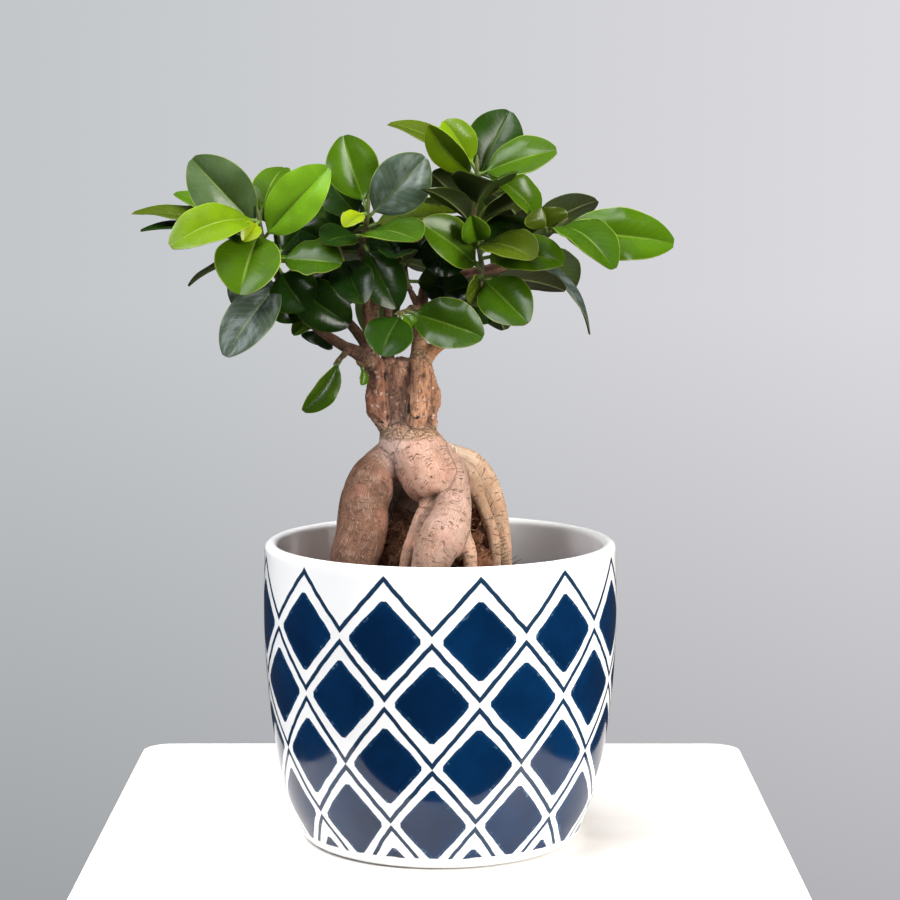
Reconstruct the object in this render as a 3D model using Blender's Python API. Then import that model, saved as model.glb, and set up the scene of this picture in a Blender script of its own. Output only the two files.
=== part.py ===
"""Ginseng ficus with swollen roots, in a nursery pot inside a round ceramic pot.

Metres, +Z up. The origin is the centre of the ceramic pot's flat underside, and -Y is the front.
Lists of places are in millimetres. The plant's own places are written as they show from the front:
across and up on the upright plane through the pot's axis, then how far behind that plane they lie.
"""

import math
import random

import bmesh
import bpy
import numpy as np
from mathutils import Matrix, Vector, noise
from mathutils.bvhtree import BVHTree

MM = 0.001
GAP = 0.0003

# Where the viewer's eye is
EYE = Vector((0.004, -0.990, 0.274))

# Ceramic pot: outer radius and height up the wall
POT_HEIGHT = 0.120
POT_WALL = 0.0052
POT_FLOOR = 0.007
POT_FOOT_RADIUS = 0.0515
POT_OUTLINE = [
    (57.0, 5.0),
    (61.6, 16.0),
    (64.7, 28.0),
    (67.8, 48.0),
    (69.5, 64.0),
    (70.5, 82.0),
    (70.6, 100.0),
    (70.3, 114.0),
]
POT_SIDES = 36
POT_CORNER = 0.0055
SHARP_ANGLE = math.radians(40)

# Nursery pot
GROW_TOP = 0.098
GROW_WALL = 0.0012
GROW_FOOT_RADIUS = 0.044
GROW_TOP_RADIUS = 0.0585
GROW_RIM_RADIUS = 0.0615
GROW_RIM_HEIGHT = 0.006
GROW_SIDES = 32
DRAIN_COUNT = 6
DRAIN_RADIUS = 0.004
DRAIN_CIRCLE = 0.030
DRAIN_SIDES = 10

# Soil
SOIL_EDGE_HEIGHT = 0.095
SOIL_CROWN_HEIGHT = 0.1095
SOIL_WAVE = 0.0010
SOIL_WAVES_PER_METRE = 60
MOUND_POWER = 3.2
SOIL_RINGS = 5
SOIL_SIDES = 30
HOLE_SPARE = 0.0009
HOLE_SIDES = 12

# Leaves and twigs
BLADE_THICKNESS = 0.0007
PETIOLE_WIDTH = 0.0016
PETIOLE_THICKNESS = 0.0013
PETIOLE_LENGTH = 0.0045
BLADE_ROWS = (0.0, 0.2, 0.5, 0.8, 0.98)
WIDEST = 0.53
TWIG_RADIUS = 0.00135
TWIG_TIP_RADIUS = 0.00095
TWIG_SIDES = 6
BUD_LENGTH = 0.006
BUD_TIP_RADIUS = 0.0003
CLEAR = 0.0005
SLIDE_STEP = 0.003
FRONT_SLIDES = 12
BACK_SLIDES = 7

# Roots, stump and grafted stems that make up the trunk's body: across, up, behind, radius
BODY_LIMBS = {
    "neck": [
        (-11.6, 152.5, -3.5, 11.6),
        (-12.4, 158, -2.2, 12.2),
        (-13, 163, 0.5, 11.3),
        (-14, 170, 2, 10.6),
        (-15.4, 178, 3, 10),
        (-16.5, 185, 2.5, 8.4),
        (-16.8, 192.5, 1, 5.4),
    ],
    "left_graft": [
        (-20.5, 163, -3, 3),
        (-22.8, 168, -5, 3.9),
        (-25, 173, -6, 4.7),
        (-25.4, 179, -6, 4.6),
        (-24.6, 185, -4.5, 3.9),
        (-26.4, 192, -2, 3.8),
    ],
    "right_graft": [
        (-10, 162, -6, 3),
        (-9.4, 168, -8.5, 4.2),
        (-8.6, 174.5, -8.5, 4.8),
        (-7.8, 182, -6.5, 4.2),
        (-7.4, 188, -3.5, 3.8),
        (-8.8, 193, -1, 3.4),
    ],
    "right_flap": [
        (-5, 164, -1, 4),
        (-4.4, 171, -1, 3.7),
        (-3.2, 176.5, -1, 3.9),
        (-4, 182, -1, 3.4),
        (-5.2, 190, -1, 2),
    ],
    "back_graft": [(-15, 165, 6, 8), (-18, 178, 9, 5), (-20, 188, 11, 3.6)],
    "knob": [(-4, 160, 0, 4), (0.9, 160.3, -1, 2.3)],
    "left_root": [
        (-17, 157, -1, 7.4),
        (-20.8, 151.4, -5, 7),
        (-26.2, 146.2, -9, 8.8),
        (-28.6, 140.5, -12.5, 9.9),
        (-30.2, 134, -15.5, 9.4),
        (-30.4, 127, -18, 9.8),
        (-32.4, 119, -21, 10.1),
        (-34.8, 111, -23, 9.6),
        (-36, 98, -26, 6.5),
    ],
    "belly": [
        (-10.8, 157, -4, 11.4),
        (-8.6, 152.6, -6.6, 11.6),
        (-6, 148, -9.2, 11.2),
        (-4.3, 143.8, -12.2, 10.7),
        (-3.4, 140, -14.6, 9.5),
        (-2.8, 137, -16.3, 6.7),
    ],
    "front_root": [
        (2, 150, -6, 8.4),
        (4.2, 143.5, -10, 7.4),
        (5.2, 137.5, -15, 7.1),
        (5, 131.8, -20.5, 7.6),
        (3.4, 126, -25, 8.8),
        (0.6, 120, -29, 9.2),
        (-2, 115.5, -31, 8.4),
        (-4.2, 109, -34, 7.4),
        (-6, 99, -36, 5.5),
    ],
    "front_slender_root": [
        (-3, 136, -15, 3.6),
        (-7.5, 130, -20, 2.9),
        (-10.4, 122.5, -22, 2.7),
        (-13, 114.5, -24.5, 2.6),
        (-15.4, 101, -26, 2.2),
    ],
    "front_prong": [(8, 122, -26, 4.4), (11.4, 116, -29, 3.2), (12.2, 110, -31, 2.8), (13, 101, -32, 2)],
    "right_slender_root": [
        (6, 148, 0, 6),
        (12, 143.5, -2, 5),
        (14.6, 138.5, -5, 3.6),
        (17.6, 132, -8, 2.7),
        (20.3, 125.5, -10, 2.5),
        (21.7, 119, -12, 2.5),
        (22.4, 111, -13, 2.4),
        (23, 101, -14, 2),
    ],
    "right_root": [
        (-4, 154, 5, 8),
        (4, 151, 8, 7.6),
        (10.5, 149, 9, 7.8),
        (15.5, 144.5, 8, 7),
        (19.3, 138.5, 7, 5.7),
        (22, 131.5, 6, 4.7),
        (24.2, 123, 5, 3.9),
        (25.6, 114, 4, 3.4),
        (26.5, 101, 2, 2.5),
    ],
    "back_left_root": [
        (-18, 154, 6, 8),
        (-26, 147, 14, 8.2),
        (-32, 137, 21, 8),
        (-34, 124, 27, 8),
        (-35, 109, 31, 7.6),
        (-36, 98, 33, 5.5),
    ],
    "back_right_root": [
        (-2, 152, 8, 8),
        (5, 146, 16, 8),
        (10, 136, 19, 7.6),
        (13, 124, 22, 7.4),
        (14, 110, 26, 7.2),
        (14, 98, 28, 5),
    ],
    "back_root": [
        (-14, 152, 6, 8),
        (-15, 144, 9, 7.6),
        (-16, 132, 12, 8),
        (-16, 118, 14, 8.4),
        (-15, 108, 16, 7.8),
        (-14, 98, 18, 5.5),
    ],
}
BODY_VOXEL = 0.0013
BODY_FACES = 2500
SOIL_LIMBS = [name for name, points in BODY_LIMBS.items() if points[-1][1] < SOIL_CROWN_HEIGHT / MM]

# Woody branches from the grafts, each ending where a leafy stem starts: across, up, behind, radius
BRANCHES = {
    "left_outer": [
        (-26, 189, -2, 4),
        (-32, 194.5, -2, 3),
        (-38, 197.5, -2, 2.4),
        (-45, 202, -1, 2.1),
        (-54, 209, -1, 1.9),
        (-59, 215, 1, 1.6),
    ],
    "left_inner": [(-50, 206, -1, 1.8), (-54, 209.5, -6, 1.5), (-57, 213.5, -9, 1.4)],
    "left_low": [(-41, 199.5, -1, 1.9), (-43.5, 200, 4, 1.5), (-45.5, 202, 7, 1.4)],
    "left_hanging": [(-36, 197, -2, 2), (-37, 195.8, -5, 1.5), (-37.8, 194.8, -7, 1.4)],
    "sprout": [(-28, 190.5, -3, 2.4), (-29.4, 191, -6.5, 1.6), (-30.4, 190.6, -9, 1.3)],
    "centre": [
        (-27, 190, -2, 3.6),
        (-28, 200, -2, 2.3),
        (-29, 210, -2, 1.8),
        (-29.5, 219, -3, 1.7),
        (-31, 227, -4, 1.6),
        (-31, 233, -5, 1.5),
    ],
    "centre_left": [(-30.4, 224, -3.6, 1.5), (-33.5, 227.5, -6, 1.4), (-36.5, 230, -7, 1.4)],
    "right_top": [
        (-9, 190, -1, 3.4),
        (-8.5, 200, -1, 2.9),
        (-8.3, 207, -2, 2.6),
        (-7, 215, -2, 2.3),
        (-5.5, 222.5, -1, 2.2),
        (0, 230, 0, 1.8),
        (5, 235, 1, 1.6),
        (9.5, 238.5, 1, 1.5),
    ],
    "centre_low": [(-8.2, 209, -2, 2.2), (-8.5, 212.5, -8, 1.6), (-10.5, 212.8, -12, 1.4)],
    "inner": [(-7.6, 211, -2, 2), (-10, 216, -5, 1.6), (-12, 220, -7, 1.4)],
    "right_outer": [(-5.5, 221, -1, 2), (4, 225, 3, 1.8), (16, 228, 4, 1.6), (28, 231, -1, 1.5)],
    "right_mid": [
        (-7, 191, -1, 3.2),
        (-2, 197, -2, 2.7),
        (5.5, 202, -4, 2.4),
        (10, 207, -6, 1.9),
        (12.5, 212, -8, 1.5),
    ],
    "back_left": [(-25, 186, 3, 3.4), (-30, 199, 14, 2.5), (-41, 213, 30, 1.8), (-48, 224, 38, 1.5)],
    "back_mid": [
        (-20, 185, 10, 3.4),
        (-21, 197, 16, 2.6),
        (-21, 208, 25, 2.1),
        (-20, 217, 35, 1.8),
        (-21, 226, 43, 1.5),
    ],
    "back_right": [
        (-8.5, 188, 4, 3.2),
        (-7.5, 200, 12, 2.4),
        (-5, 210, 21, 2.1),
        (4, 219, 34, 1.8),
        (10, 228, 43, 1.5),
    ],
    "right_back": [(2, 224.5, 2.4, 1.8), (14, 227, 15, 1.7), (26, 228, 25, 1.6), (33, 230, 30, 1.5)],
    "top_back": [(-28.4, 204, -2, 2.1), (-24, 217, 8, 1.8), (-15, 228, 17, 1.6), (-11, 234, 20, 1.5)],
}
BRANCH_SIDES = 6

# Leafy stems that show from the front. Twig: across, up, behind.
# Leaf: share along the twig, its tip's across, up and behind, width, lift and yaw of the upper face
# (0, 0 faces the viewer, lift 90 faces up, yaw 90 faces right), arch as a share of length, fold in degrees.
FRONT_SHOOTS = {
    "left_outer": (
        [(-66, 228, -2), (-70, 239, -8), (-71.5, 248, -13)],
        [
            (0.70, -122, 250, 2, 19, 76, 0, 0.07, 10),
            (0.55, -119, 243, -8, 17, 80, 0, 0.10, 10),
            (0.90, -105, 258, 8, 11, 60, 0, 0.04, 12),
            (0.85, -98, 272, -18, 23, 12, -8, 0.06, 14),
            (0.95, -61, 268, 4, 14, 78, 0, 0.16, 12),
            (0.97, -107, 236.5, -34, 19, 40, 0, 0.14, 12),
            (0.97, -78, 239, -27, 8, 30, 20, 0.10, 22),
            (0.75, -43.5, 268.5, -22, 20, 22, 10, 0.06, 16),
            (0.88, -79.5, 217.5, -36, 25, 24, 0, 0.06, 10),
            (0.35, -82, 213.5, -18, 19, 4, -20, 0.08, 16),
            (0.45, -100, 221, -10, 10, 84, 0, 0.14, 14),
            (0.50, -49, 246, 8, 19, 24, 0, 0.05, 14),
        ],
    ),
    "left_inner": (
        [(-60, 219, -12), (-64, 226, -14), (-65.5, 233, -15)],
        [
            (0.95, -38.5, 230, -24, 20, 48, 0, 0.05, 16),
            (0.85, -53, 212, -20, 20, 6, 6, 0.05, 14),
            (0.55, -85.5, 193, -16, 18.5, 10, -10, 0.05, 12),
            (0.30, -57, 207, -6, 17, 12, 10, 0.06, 14),
            (0.65, -35.5, 206, -8, 19, 6, 8, 0.06, 14),
            (0.97, -47.5, 253.5, -6, 22, 16, 14, 0.05, 16),
            (0.45, -32, 221, 6, 19, 14, 0, 0.05, 14),
            (0.20, -38, 209, 8, 18, 10, 0, 0.05, 14),
            (0.75, -44, 238, 12, 18, 20, 0, 0.05, 14),
        ],
    ),
    "left_low": (
        [(-46.5, 204, 9), (-47, 208.5, 12)],
        [
            (0.55, -48.5, 198, 6, 14, 8, -10, 0.05, 14),
            (0.90, -58.5, 202, -4, 8, 30, -10, 0.18, 26),
        ],
    ),
    "left_hanging": (
        [(-38.8, 193.8, -10), (-39.6, 193, -11.5)],
        [
            (0.35, -55, 171.6, -14, 12.5, 16, 52, 0.05, 30),
        ],
    ),
    "sprout": (
        [(-31, 190, -11), (-31.6, 190.4, -13)],
        [
            (0.45, -31.4, 182, -13, 6.6, 6, 62, 0.08, 16),
        ],
    ),
    "centre": (
        [(-30.5, 239, -9), (-29, 247, -14), (-28.6, 252, -16)],
        [
            (0.95, -38, 281, -12, 20.5, 6, 6, -0.05, 12),
            (0.90, -38, 244.5, -26, 9, 24, -20, 0.12, 20),
            (0.80, -5.6, 272.6, -18, 22, 10, 14, 0.06, 14),
            (0.70, -43.5, 262.5, 0, 16, 20, -14, 0.06, 14),
            (0.50, -8.5, 239, -42, 22, 58, 0, 0.06, 12),
            (0.60, 6.8, 250.5, -16, 18, 74, 0, 0.05, 14),
            (0.30, -17, 212.3, -18, 18, 4, 16, 0.06, 14),
            (0.45, -46.5, 238, -14, 17, 50, -10, 0.06, 14),
        ],
    ),
    "centre_left": (
        [(-39, 233, -8), (-40.5, 237.5, -8)],
        [
            (0.40, -30, 214, -12, 17, 8, 4, 0.06, 14),
            (0.70, -55, 244, 8, 16, 40, -10, 0.06, 14),
            (0.90, -36, 256, 6, 16, 14, 0, 0.06, 14),
        ],
    ),
    "centre_low": (
        [(-13, 211.6, -17), (-15.4, 211, -22)],
        [
            (0.60, 17.5, 201, -36, 20, 14, 6, 0.05, 12),
            (0.85, -23.5, 193.5, -38, 18.5, 14, -6, 0.06, 8),
            (0.35, -2.5, 200, -18, 8.5, 8, 20, 0.08, 20),
            (0.95, -10.8, 204.5, -24, 6, 10, 20, 0.10, 22),
        ],
    ),
    "inner": (
        [(-13.4, 224.5, -8), (-14, 230, -9)],
        [
            (0.70, -24, 243, 4, 16, 50, -10, 0.06, 14),
            (0.90, -2, 243, 2, 17, 44, 10, 0.06, 14),
            (0.97, -19, 232, -38, 15, 60, 0, 0.08, 14),
            (0.35, 9, 222, 8, 18, 10, 0, 0.05, 14),
            (0.15, 3, 207, 6, 17, 8, 0, 0.05, 14),
        ],
    ),
    "right_top": (
        [(13, 247, -3), (14.4, 257, -7), (14.5, 267, -9)],
        [
            (0.80, -20.8, 285, 2, 17, 72, 0, 0.14, 10),
            (0.90, -4.5, 285, -4, 14, 10, -34, 0.05, 22),
            (0.97, 1.5, 286.5, -15, 14, 8, 20, 0.08, 22),
            (0.85, 27.5, 290.5, 0, 21.5, 4, 4, -0.04, 10),
            (0.92, 46.4, 274.6, -16, 18.5, 40, 0, 0.06, 14),
            (0.40, -3.6, 266.3, -10, 19, 136, 0, 0.06, 12),
            (0.30, -5.8, 259.6, -16, 14, 98, 0, 0.05, 14),
            (0.55, 21, 262.5, -40, 27, 90, 0, 0.04, 24),
            (0.97, 38, 245.5, -18, 16, 14, 52, 0.20, 22),
            (0.25, 40, 257.5, 4, 18, 116, 0, 0.08, 12),
        ],
    ),
    "right_mid": (
        [(15.5, 220, -10), (16.6, 229, -12), (15, 238, -14)],
        [
            (0.85, 37, 246, -2, 19, 60, 0, 0.07, 12),
            (0.60, -8, 246.5, -34, 19.5, 36, -6, 0.05, 14),
            (0.95, 12.2, 249.5, -26, 13, 8, 0, 0.06, 32),
            (0.97, 37.5, 231.8, -38, 19.5, 54, 0, 0.10, 12),
            (0.78, 49.6, 230.5, -27, 20, 46, 0, 0.09, 12),
            (0.50, 35, 206.4, -38, 20, 10, 4, 0.05, 12),
            (0.35, 19.2, 206.4, -16, 17, 6, -10, 0.05, 14),
            (0.40, 1.4, 218.5, -8, 16, 8, -16, 0.06, 14),
            (0.55, 10, 216.5, -24, 13, 6, 74, 0.06, 14),
            (0.45, 50, 219.5, -4, 17, 122, 0, 0.08, 12),
            (0.70, -8, 236, 6, 18, 16, 0, 0.05, 14),
            (0.25, 38, 226, 8, 18, 14, 0, 0.05, 14),
        ],
    ),
    "right_outer": (
        [(33, 234, -5), (40, 239.5, -10), (46, 244.5, -13)],
        [
            (0.90, 93, 238, -22, 21, 18, 6, 0.05, 12),
            (0.97, 67, 237, -26, 13, 36, 0, 0.08, 26),
            (0.85, 68.8, 227.5, -44, 20, 58, 10, 0.18, 14),
            (0.80, 40, 252.5, 2, 17, 22, 0, 0.05, 12),
            (0.25, 59.2, 202, -4, 12, 4, 90, 0.12, 12),
        ],
    ),
}

# Leafy stems behind: the twig's growing direction, its length in mm, how many leaves spiral round it,
# the lowest and highest leaf's slope and, seen from above, the lowest leaf's bearing from the right.
BACK_SHOOTS = {
    "back_left": ((-0.25, 0.30, 0.92), 16, 9, -36, 34, 200),
    "back_mid": ((-0.05, 0.45, 0.89), 16, 9, -40, 26, 100),
    "back_right": ((0.05, 0.50, 0.86), 15, 9, -36, 28, 60),
    "right_back": ((0.15, 0.60, 0.78), 14, 7, -14, 24, 140),
    "top_back": ((0.00, 0.10, 0.99), 9, 8, -44, 12, 250),
}
GOLDEN_ANGLE = math.radians(137.5)
BACK_LEAF_LENGTH = 0.037
BACK_LEAF_WIDTH = 0.0195
SEED = 11

POT_WHITE = (0.86, 0.87, 0.88, 1)
PLASTIC_BROWN = (0.10, 0.045, 0.025, 1)
SOIL_BROWN = (0.055, 0.035, 0.022, 1)
BARK_TAN = (0.38, 0.23, 0.15, 1)
LEAF_GREEN = (0.05, 0.17, 0.02, 1)


def clear_scene():
    for obj in list(bpy.data.objects):
        bpy.data.objects.remove(obj, do_unlink=True)


def material(name, colour, roughness):
    made = bpy.data.materials.new(name)
    made.use_nodes = True
    shader = made.node_tree.nodes["Principled BSDF"]
    shader.inputs["Base Color"].default_value = colour
    shader.inputs["Roughness"].default_value = roughness
    shader.inputs["Metallic"].default_value = 0.0
    return made


def add_object(name, mesh, coat=None):
    obj = bpy.data.objects.new(name, mesh)
    bpy.context.scene.collection.objects.link(obj)
    if coat:
        mesh.materials.clear()
        mesh.materials.append(coat)
    return obj


def evaluated_mesh(obj):
    """A plain mesh of the object with its modifiers applied; the object itself is removed."""
    graph = bpy.context.evaluated_depsgraph_get()
    mesh = bpy.data.meshes.new_from_object(obj.evaluated_get(graph))
    bpy.data.objects.remove(obj, do_unlink=True)
    return mesh


def seen(across, up, behind):
    """The point so far behind the pot's axis that shows at this place on the plane of the axis."""
    on_plane = Vector((across * MM, 0, up * MM))
    return EYE + (on_plane - EYE) * (1 - behind * MM / EYE.y)


def smooth_path(points, steps):
    """Catmull-Rom curve through rows of numbers, with this many steps between two rows."""
    rows = np.array(points, float)
    ends = np.vstack([2 * rows[0] - rows[1], rows, 2 * rows[-1] - rows[-2]])
    path = []
    for before, start, end, after in zip(ends, ends[1:], ends[2:], ends[3:]):
        for t in np.arange(steps) / steps:
            path.append(
                start
                + 0.5 * t * (end - before)
                + t**2 * (before - 2.5 * start + 2 * end - 0.5 * after)
                + 0.5 * t**3 * (3 * start - before - 3 * end + after)
            )
    path.append(rows[-1])
    return path


def tube_mesh(places, radii, sides):
    """Closed round tube from a curve with a bevel, one radius in metres at each place."""
    curve = bpy.data.curves.new("tube", "CURVE")
    curve.dimensions = "3D"
    curve.bevel_depth = MM
    curve.bevel_resolution = (sides - 4) // 2
    curve.use_fill_caps = True
    spline = curve.splines.new("POLY")
    spline.points.add(len(places) - 1)
    for spot, place, radius in zip(spline.points, places, radii):
        spot.co = (*place, 1)
        spot.radius = radius / MM
    mesh = evaluated_mesh(add_object("tube", curve))
    bpy.data.curves.remove(curve)
    shape = bmesh.new()
    shape.from_mesh(mesh)
    bmesh.ops.remove_doubles(shape, verts=shape.verts, dist=1e-6)
    bmesh.ops.recalc_face_normals(shape, faces=shape.faces)
    shape.to_mesh(mesh)
    shape.free()
    return mesh


def limb_path(points, steps=3):
    """Places and radii along a limb given as across, up, behind and radius."""
    path = smooth_path(points, steps)
    return [seen(*row[:3]) for row in path], [row[3] * MM for row in path]


def united(name, meshes, coat):
    """One solid: the Boolean union of closed meshes that overlap."""
    helpers = bpy.data.collections.new(name + "_pieces")
    for mesh in meshes[1:]:
        helpers.objects.link(bpy.data.objects.new("piece", mesh))
    whole = add_object(name, meshes[0])
    join = whole.modifiers.new("join", "BOOLEAN")
    join.operation = "UNION"
    join.operand_type = "COLLECTION"
    join.collection = helpers
    mesh = evaluated_mesh(whole)
    for piece in list(helpers.objects):
        bpy.data.objects.remove(piece, do_unlink=True)
    bpy.data.collections.remove(helpers)
    mesh.name = name
    mesh.shade_smooth()
    return add_object(name, mesh, coat)


def turned_solid(name, outline, sides, coat):
    """Solid turned about Z from (radius, height) points that start and end on the axis."""
    shape = bmesh.new()
    spots = [shape.verts.new((radius, 0, height)) for radius, height in outline]
    edges = [shape.edges.new(pair) for pair in zip(spots, spots[1:])]
    bmesh.ops.spin(
        shape, geom=spots + edges, cent=(0, 0, 0), axis=(0, 0, 1), angle=2 * math.pi, steps=sides
    )
    bmesh.ops.remove_doubles(shape, verts=shape.verts, dist=1e-6)
    bmesh.ops.recalc_face_normals(shape, faces=shape.faces)
    mesh = bpy.data.meshes.new(name)
    shape.to_mesh(mesh)
    shape.free()
    mesh.shade_smooth()
    mesh.set_sharp_from_angle(angle=SHARP_ANGLE)
    return add_object(name, mesh, coat)


def arc(centre, radius, start, end, steps):
    """Points on an arc in the (radius, height) plane, angles in degrees."""
    angles = np.radians(np.linspace(start, end, steps + 1))
    return [(centre[0] + radius * math.cos(a), centre[1] + radius * math.sin(a)) for a in angles]


def pot_wall():
    """(radius, height) up the outside of the wall, above the rounded foot corner."""
    return [(radius * MM, height * MM) for radius, height in POT_OUTLINE]


def make_pot():
    outside = pot_wall()
    inside = [(radius - POT_WALL, height) for radius, height in outside if height > 2 * POT_FLOOR][::2]
    lip = POT_WALL / 2
    top = (outside[-1][0] - lip, POT_HEIGHT - lip)
    outline = [(0, 0), (POT_FOOT_RADIUS, 0)]
    outline += arc((POT_FOOT_RADIUS, POT_CORNER), POT_CORNER, -60, -20, 2)
    outline += outside[1:]
    outline += arc(top, lip, 0, 180, 4)
    outline += inside[::-1]
    outline += arc((inside[0][0] - POT_CORNER, POT_FLOOR + POT_CORNER), POT_CORNER, -10, -90, 2)
    outline += [(0, POT_FLOOR)]
    turned_solid("pot", outline, POT_SIDES, material("glazed ceramic", POT_WHITE, 0.12))


def make_grow_pot():
    floor = POT_FLOOR + GAP
    inner_floor = floor + GROW_WALL
    foot, top, wall = GROW_FOOT_RADIUS, GROW_TOP_RADIUS, GROW_WALL
    skirt = GROW_TOP - GROW_RIM_HEIGHT
    outline = [
        (0, floor),
        (foot, floor),
        (top, skirt),
        (GROW_RIM_RADIUS, skirt),
        (GROW_RIM_RADIUS, GROW_TOP),
        (top - wall, GROW_TOP),
        (top - wall, skirt - wall),
        (foot - wall, inner_floor),
        (0, inner_floor),
    ]
    grow_pot = turned_solid("grow_pot", outline, GROW_SIDES, material("plastic", PLASTIC_BROWN, 0.5))
    drains = bpy.data.collections.new("drains")
    for index in range(DRAIN_COUNT):
        angle = 2 * math.pi * index / DRAIN_COUNT
        shape = bmesh.new()
        bmesh.ops.create_cone(
            shape,
            cap_ends=True,
            segments=DRAIN_SIDES,
            radius1=DRAIN_RADIUS,
            radius2=DRAIN_RADIUS,
            depth=4 * GROW_WALL,
        )
        place = (DRAIN_CIRCLE * math.cos(angle), DRAIN_CIRCLE * math.sin(angle), floor + GROW_WALL / 2)
        bmesh.ops.translate(shape, verts=shape.verts, vec=place)
        mesh = bpy.data.meshes.new("drain")
        shape.to_mesh(mesh)
        shape.free()
        drains.objects.link(bpy.data.objects.new("drain", mesh))
    cut = grow_pot.modifiers.new("drain holes", "BOOLEAN")
    cut.operation = "DIFFERENCE"
    cut.operand_type = "COLLECTION"
    cut.collection = drains
    coat = grow_pot.data.materials[0]
    mesh = evaluated_mesh(grow_pot)
    for drain in list(drains.objects):
        bpy.data.objects.remove(drain, do_unlink=True)
    add_object("grow_pot", mesh, coat)


def soil_height(x, y):
    """Mounded surface, low at the nursery pot's wall and high round the roots."""
    edge = GROW_TOP_RADIUS - GROW_WALL
    share = min(1, math.hypot(x, y) / edge)
    mound = SOIL_EDGE_HEIGHT + (SOIL_CROWN_HEIGHT - SOIL_EDGE_HEIGHT) * (1 - share**MOUND_POWER)
    ripple = noise.noise(Vector((x, y, 0)) * SOIL_WAVES_PER_METRE)
    return mound + SOIL_WAVE * ripple * (1 - share**6)


def make_soil():
    top = GROW_TOP_RADIUS - GROW_WALL - GAP
    floor = POT_FLOOR + 2 * GAP + GROW_WALL
    foot = GROW_FOOT_RADIUS - GROW_WALL - GAP
    shape = bmesh.new()
    loops = []
    for radius in [foot] + list(np.linspace(top, top / SOIL_RINGS, SOIL_RINGS)):
        loop = []
        for index in range(SOIL_SIDES):
            angle = 2 * math.pi * index / SOIL_SIDES
            x, y = radius * math.cos(angle), radius * math.sin(angle)
            loop.append(shape.verts.new((x, y, soil_height(x, y) if loops else floor)))
        loops.append(loop)
    for lower, upper in zip(loops, loops[1:]):
        for index in range(SOIL_SIDES):
            following = (index + 1) % SOIL_SIDES
            shape.faces.new((lower[index], lower[following], upper[following], upper[index]))
    shape.faces.new(loops[0][::-1])
    crown = shape.verts.new((0, 0, soil_height(0, 0)))
    for index in range(SOIL_SIDES):
        shape.faces.new((loops[-1][index], loops[-1][(index + 1) % SOIL_SIDES], crown))
    bmesh.ops.recalc_face_normals(shape, faces=shape.faces)
    mesh = bpy.data.meshes.new("soil")
    shape.to_mesh(mesh)
    shape.free()
    soil = add_object("soil", mesh)
    holes = bpy.data.collections.new("root holes")
    for name in SOIL_LIMBS:
        places, radii = limb_path(BODY_LIMBS[name][-3:], 1)
        ahead = (places[-1] - places[-2]).normalized()
        places.append(places[-1] + ahead * HOLE_SPARE)
        radii.append(radii[-1])
        hole = tube_mesh(places, [radius + HOLE_SPARE for radius in radii], HOLE_SIDES)
        holes.objects.link(bpy.data.objects.new("hole", hole))
    cut = soil.modifiers.new("root holes", "BOOLEAN")
    cut.operation = "DIFFERENCE"
    cut.operand_type = "COLLECTION"
    cut.collection = holes
    mesh = evaluated_mesh(soil)
    for hole in list(holes.objects):
        bpy.data.objects.remove(hole, do_unlink=True)
    mesh.shade_smooth()
    add_object("soil", mesh, material("soil", SOIL_BROWN, 0.95))


def make_body():
    """Roots, stump and grafts melted into one skin, as they grew."""
    skin = bmesh.new()
    for points in BODY_LIMBS.values():
        mesh = tube_mesh(*limb_path(points, 4), 16)
        skin.from_mesh(mesh)
        bpy.data.meshes.remove(mesh)
    mesh = bpy.data.meshes.new("body")
    skin.to_mesh(mesh)
    skin.free()
    body = add_object("body", mesh)
    melt = body.modifiers.new("melt", "REMESH")
    melt.mode = "VOXEL"
    melt.voxel_size = BODY_VOXEL
    ease = body.modifiers.new("ease", "SMOOTH")
    ease.factor = 0.5
    ease.iterations = 4
    graph = bpy.context.evaluated_depsgraph_get()
    fine_faces = 2 * len(body.evaluated_get(graph).data.polygons)
    thin = body.modifiers.new("thin", "DECIMATE")
    thin.ratio = BODY_FACES / fine_faces
    return evaluated_mesh(body)


def branch_tube(points):
    return tube_mesh(*limb_path(points, 1), BRANCH_SIDES)


def make_trunk():
    meshes = [make_body()] + [branch_tube(points) for points in BRANCHES.values()]
    united("trunk", meshes, material("bark", BARK_TAN, 0.75))


def branch_end(name):
    """Where a branch ends, and the way that it points there."""
    places, _ = limb_path(BRANCHES[name], 1)
    return places[-1], (places[-1] - places[-2]).normalized()


def twig_path(name, points):
    """Places and radii of a leafy stem: from just past its branch's end, to the tip of its bud."""
    end, way = branch_end(name)
    start = end + way * GAP
    path = [start, start + way * 2 * MM] + points
    radii = list(np.linspace(TWIG_RADIUS, TWIG_TIP_RADIUS, len(path)))
    bud = (path[-1] - path[-2]).normalized()
    path += [path[-1] + bud * 0.35 * BUD_LENGTH, path[-1] + bud * BUD_LENGTH]
    return path, radii + [radii[-1], BUD_TIP_RADIUS]


def place_along(path, share):
    """The point at this share of the twig's length, bud left out."""
    stem = path[:-2]
    steps = [(b - a).length for a, b in zip(stem, stem[1:])]
    left = share * sum(steps)
    for start, end, step in zip(stem, stem[1:], steps):
        if left <= step:
            return start.lerp(end, left / step)
        left -= step
    return stem[-1]


def half_width(t):
    """Half the blade's width at this share of its length, as a share of its full width."""
    return 0.52 * (t / WIDEST) ** 0.75 * ((1 - t) / (1 - WIDEST)) ** 0.7


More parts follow.
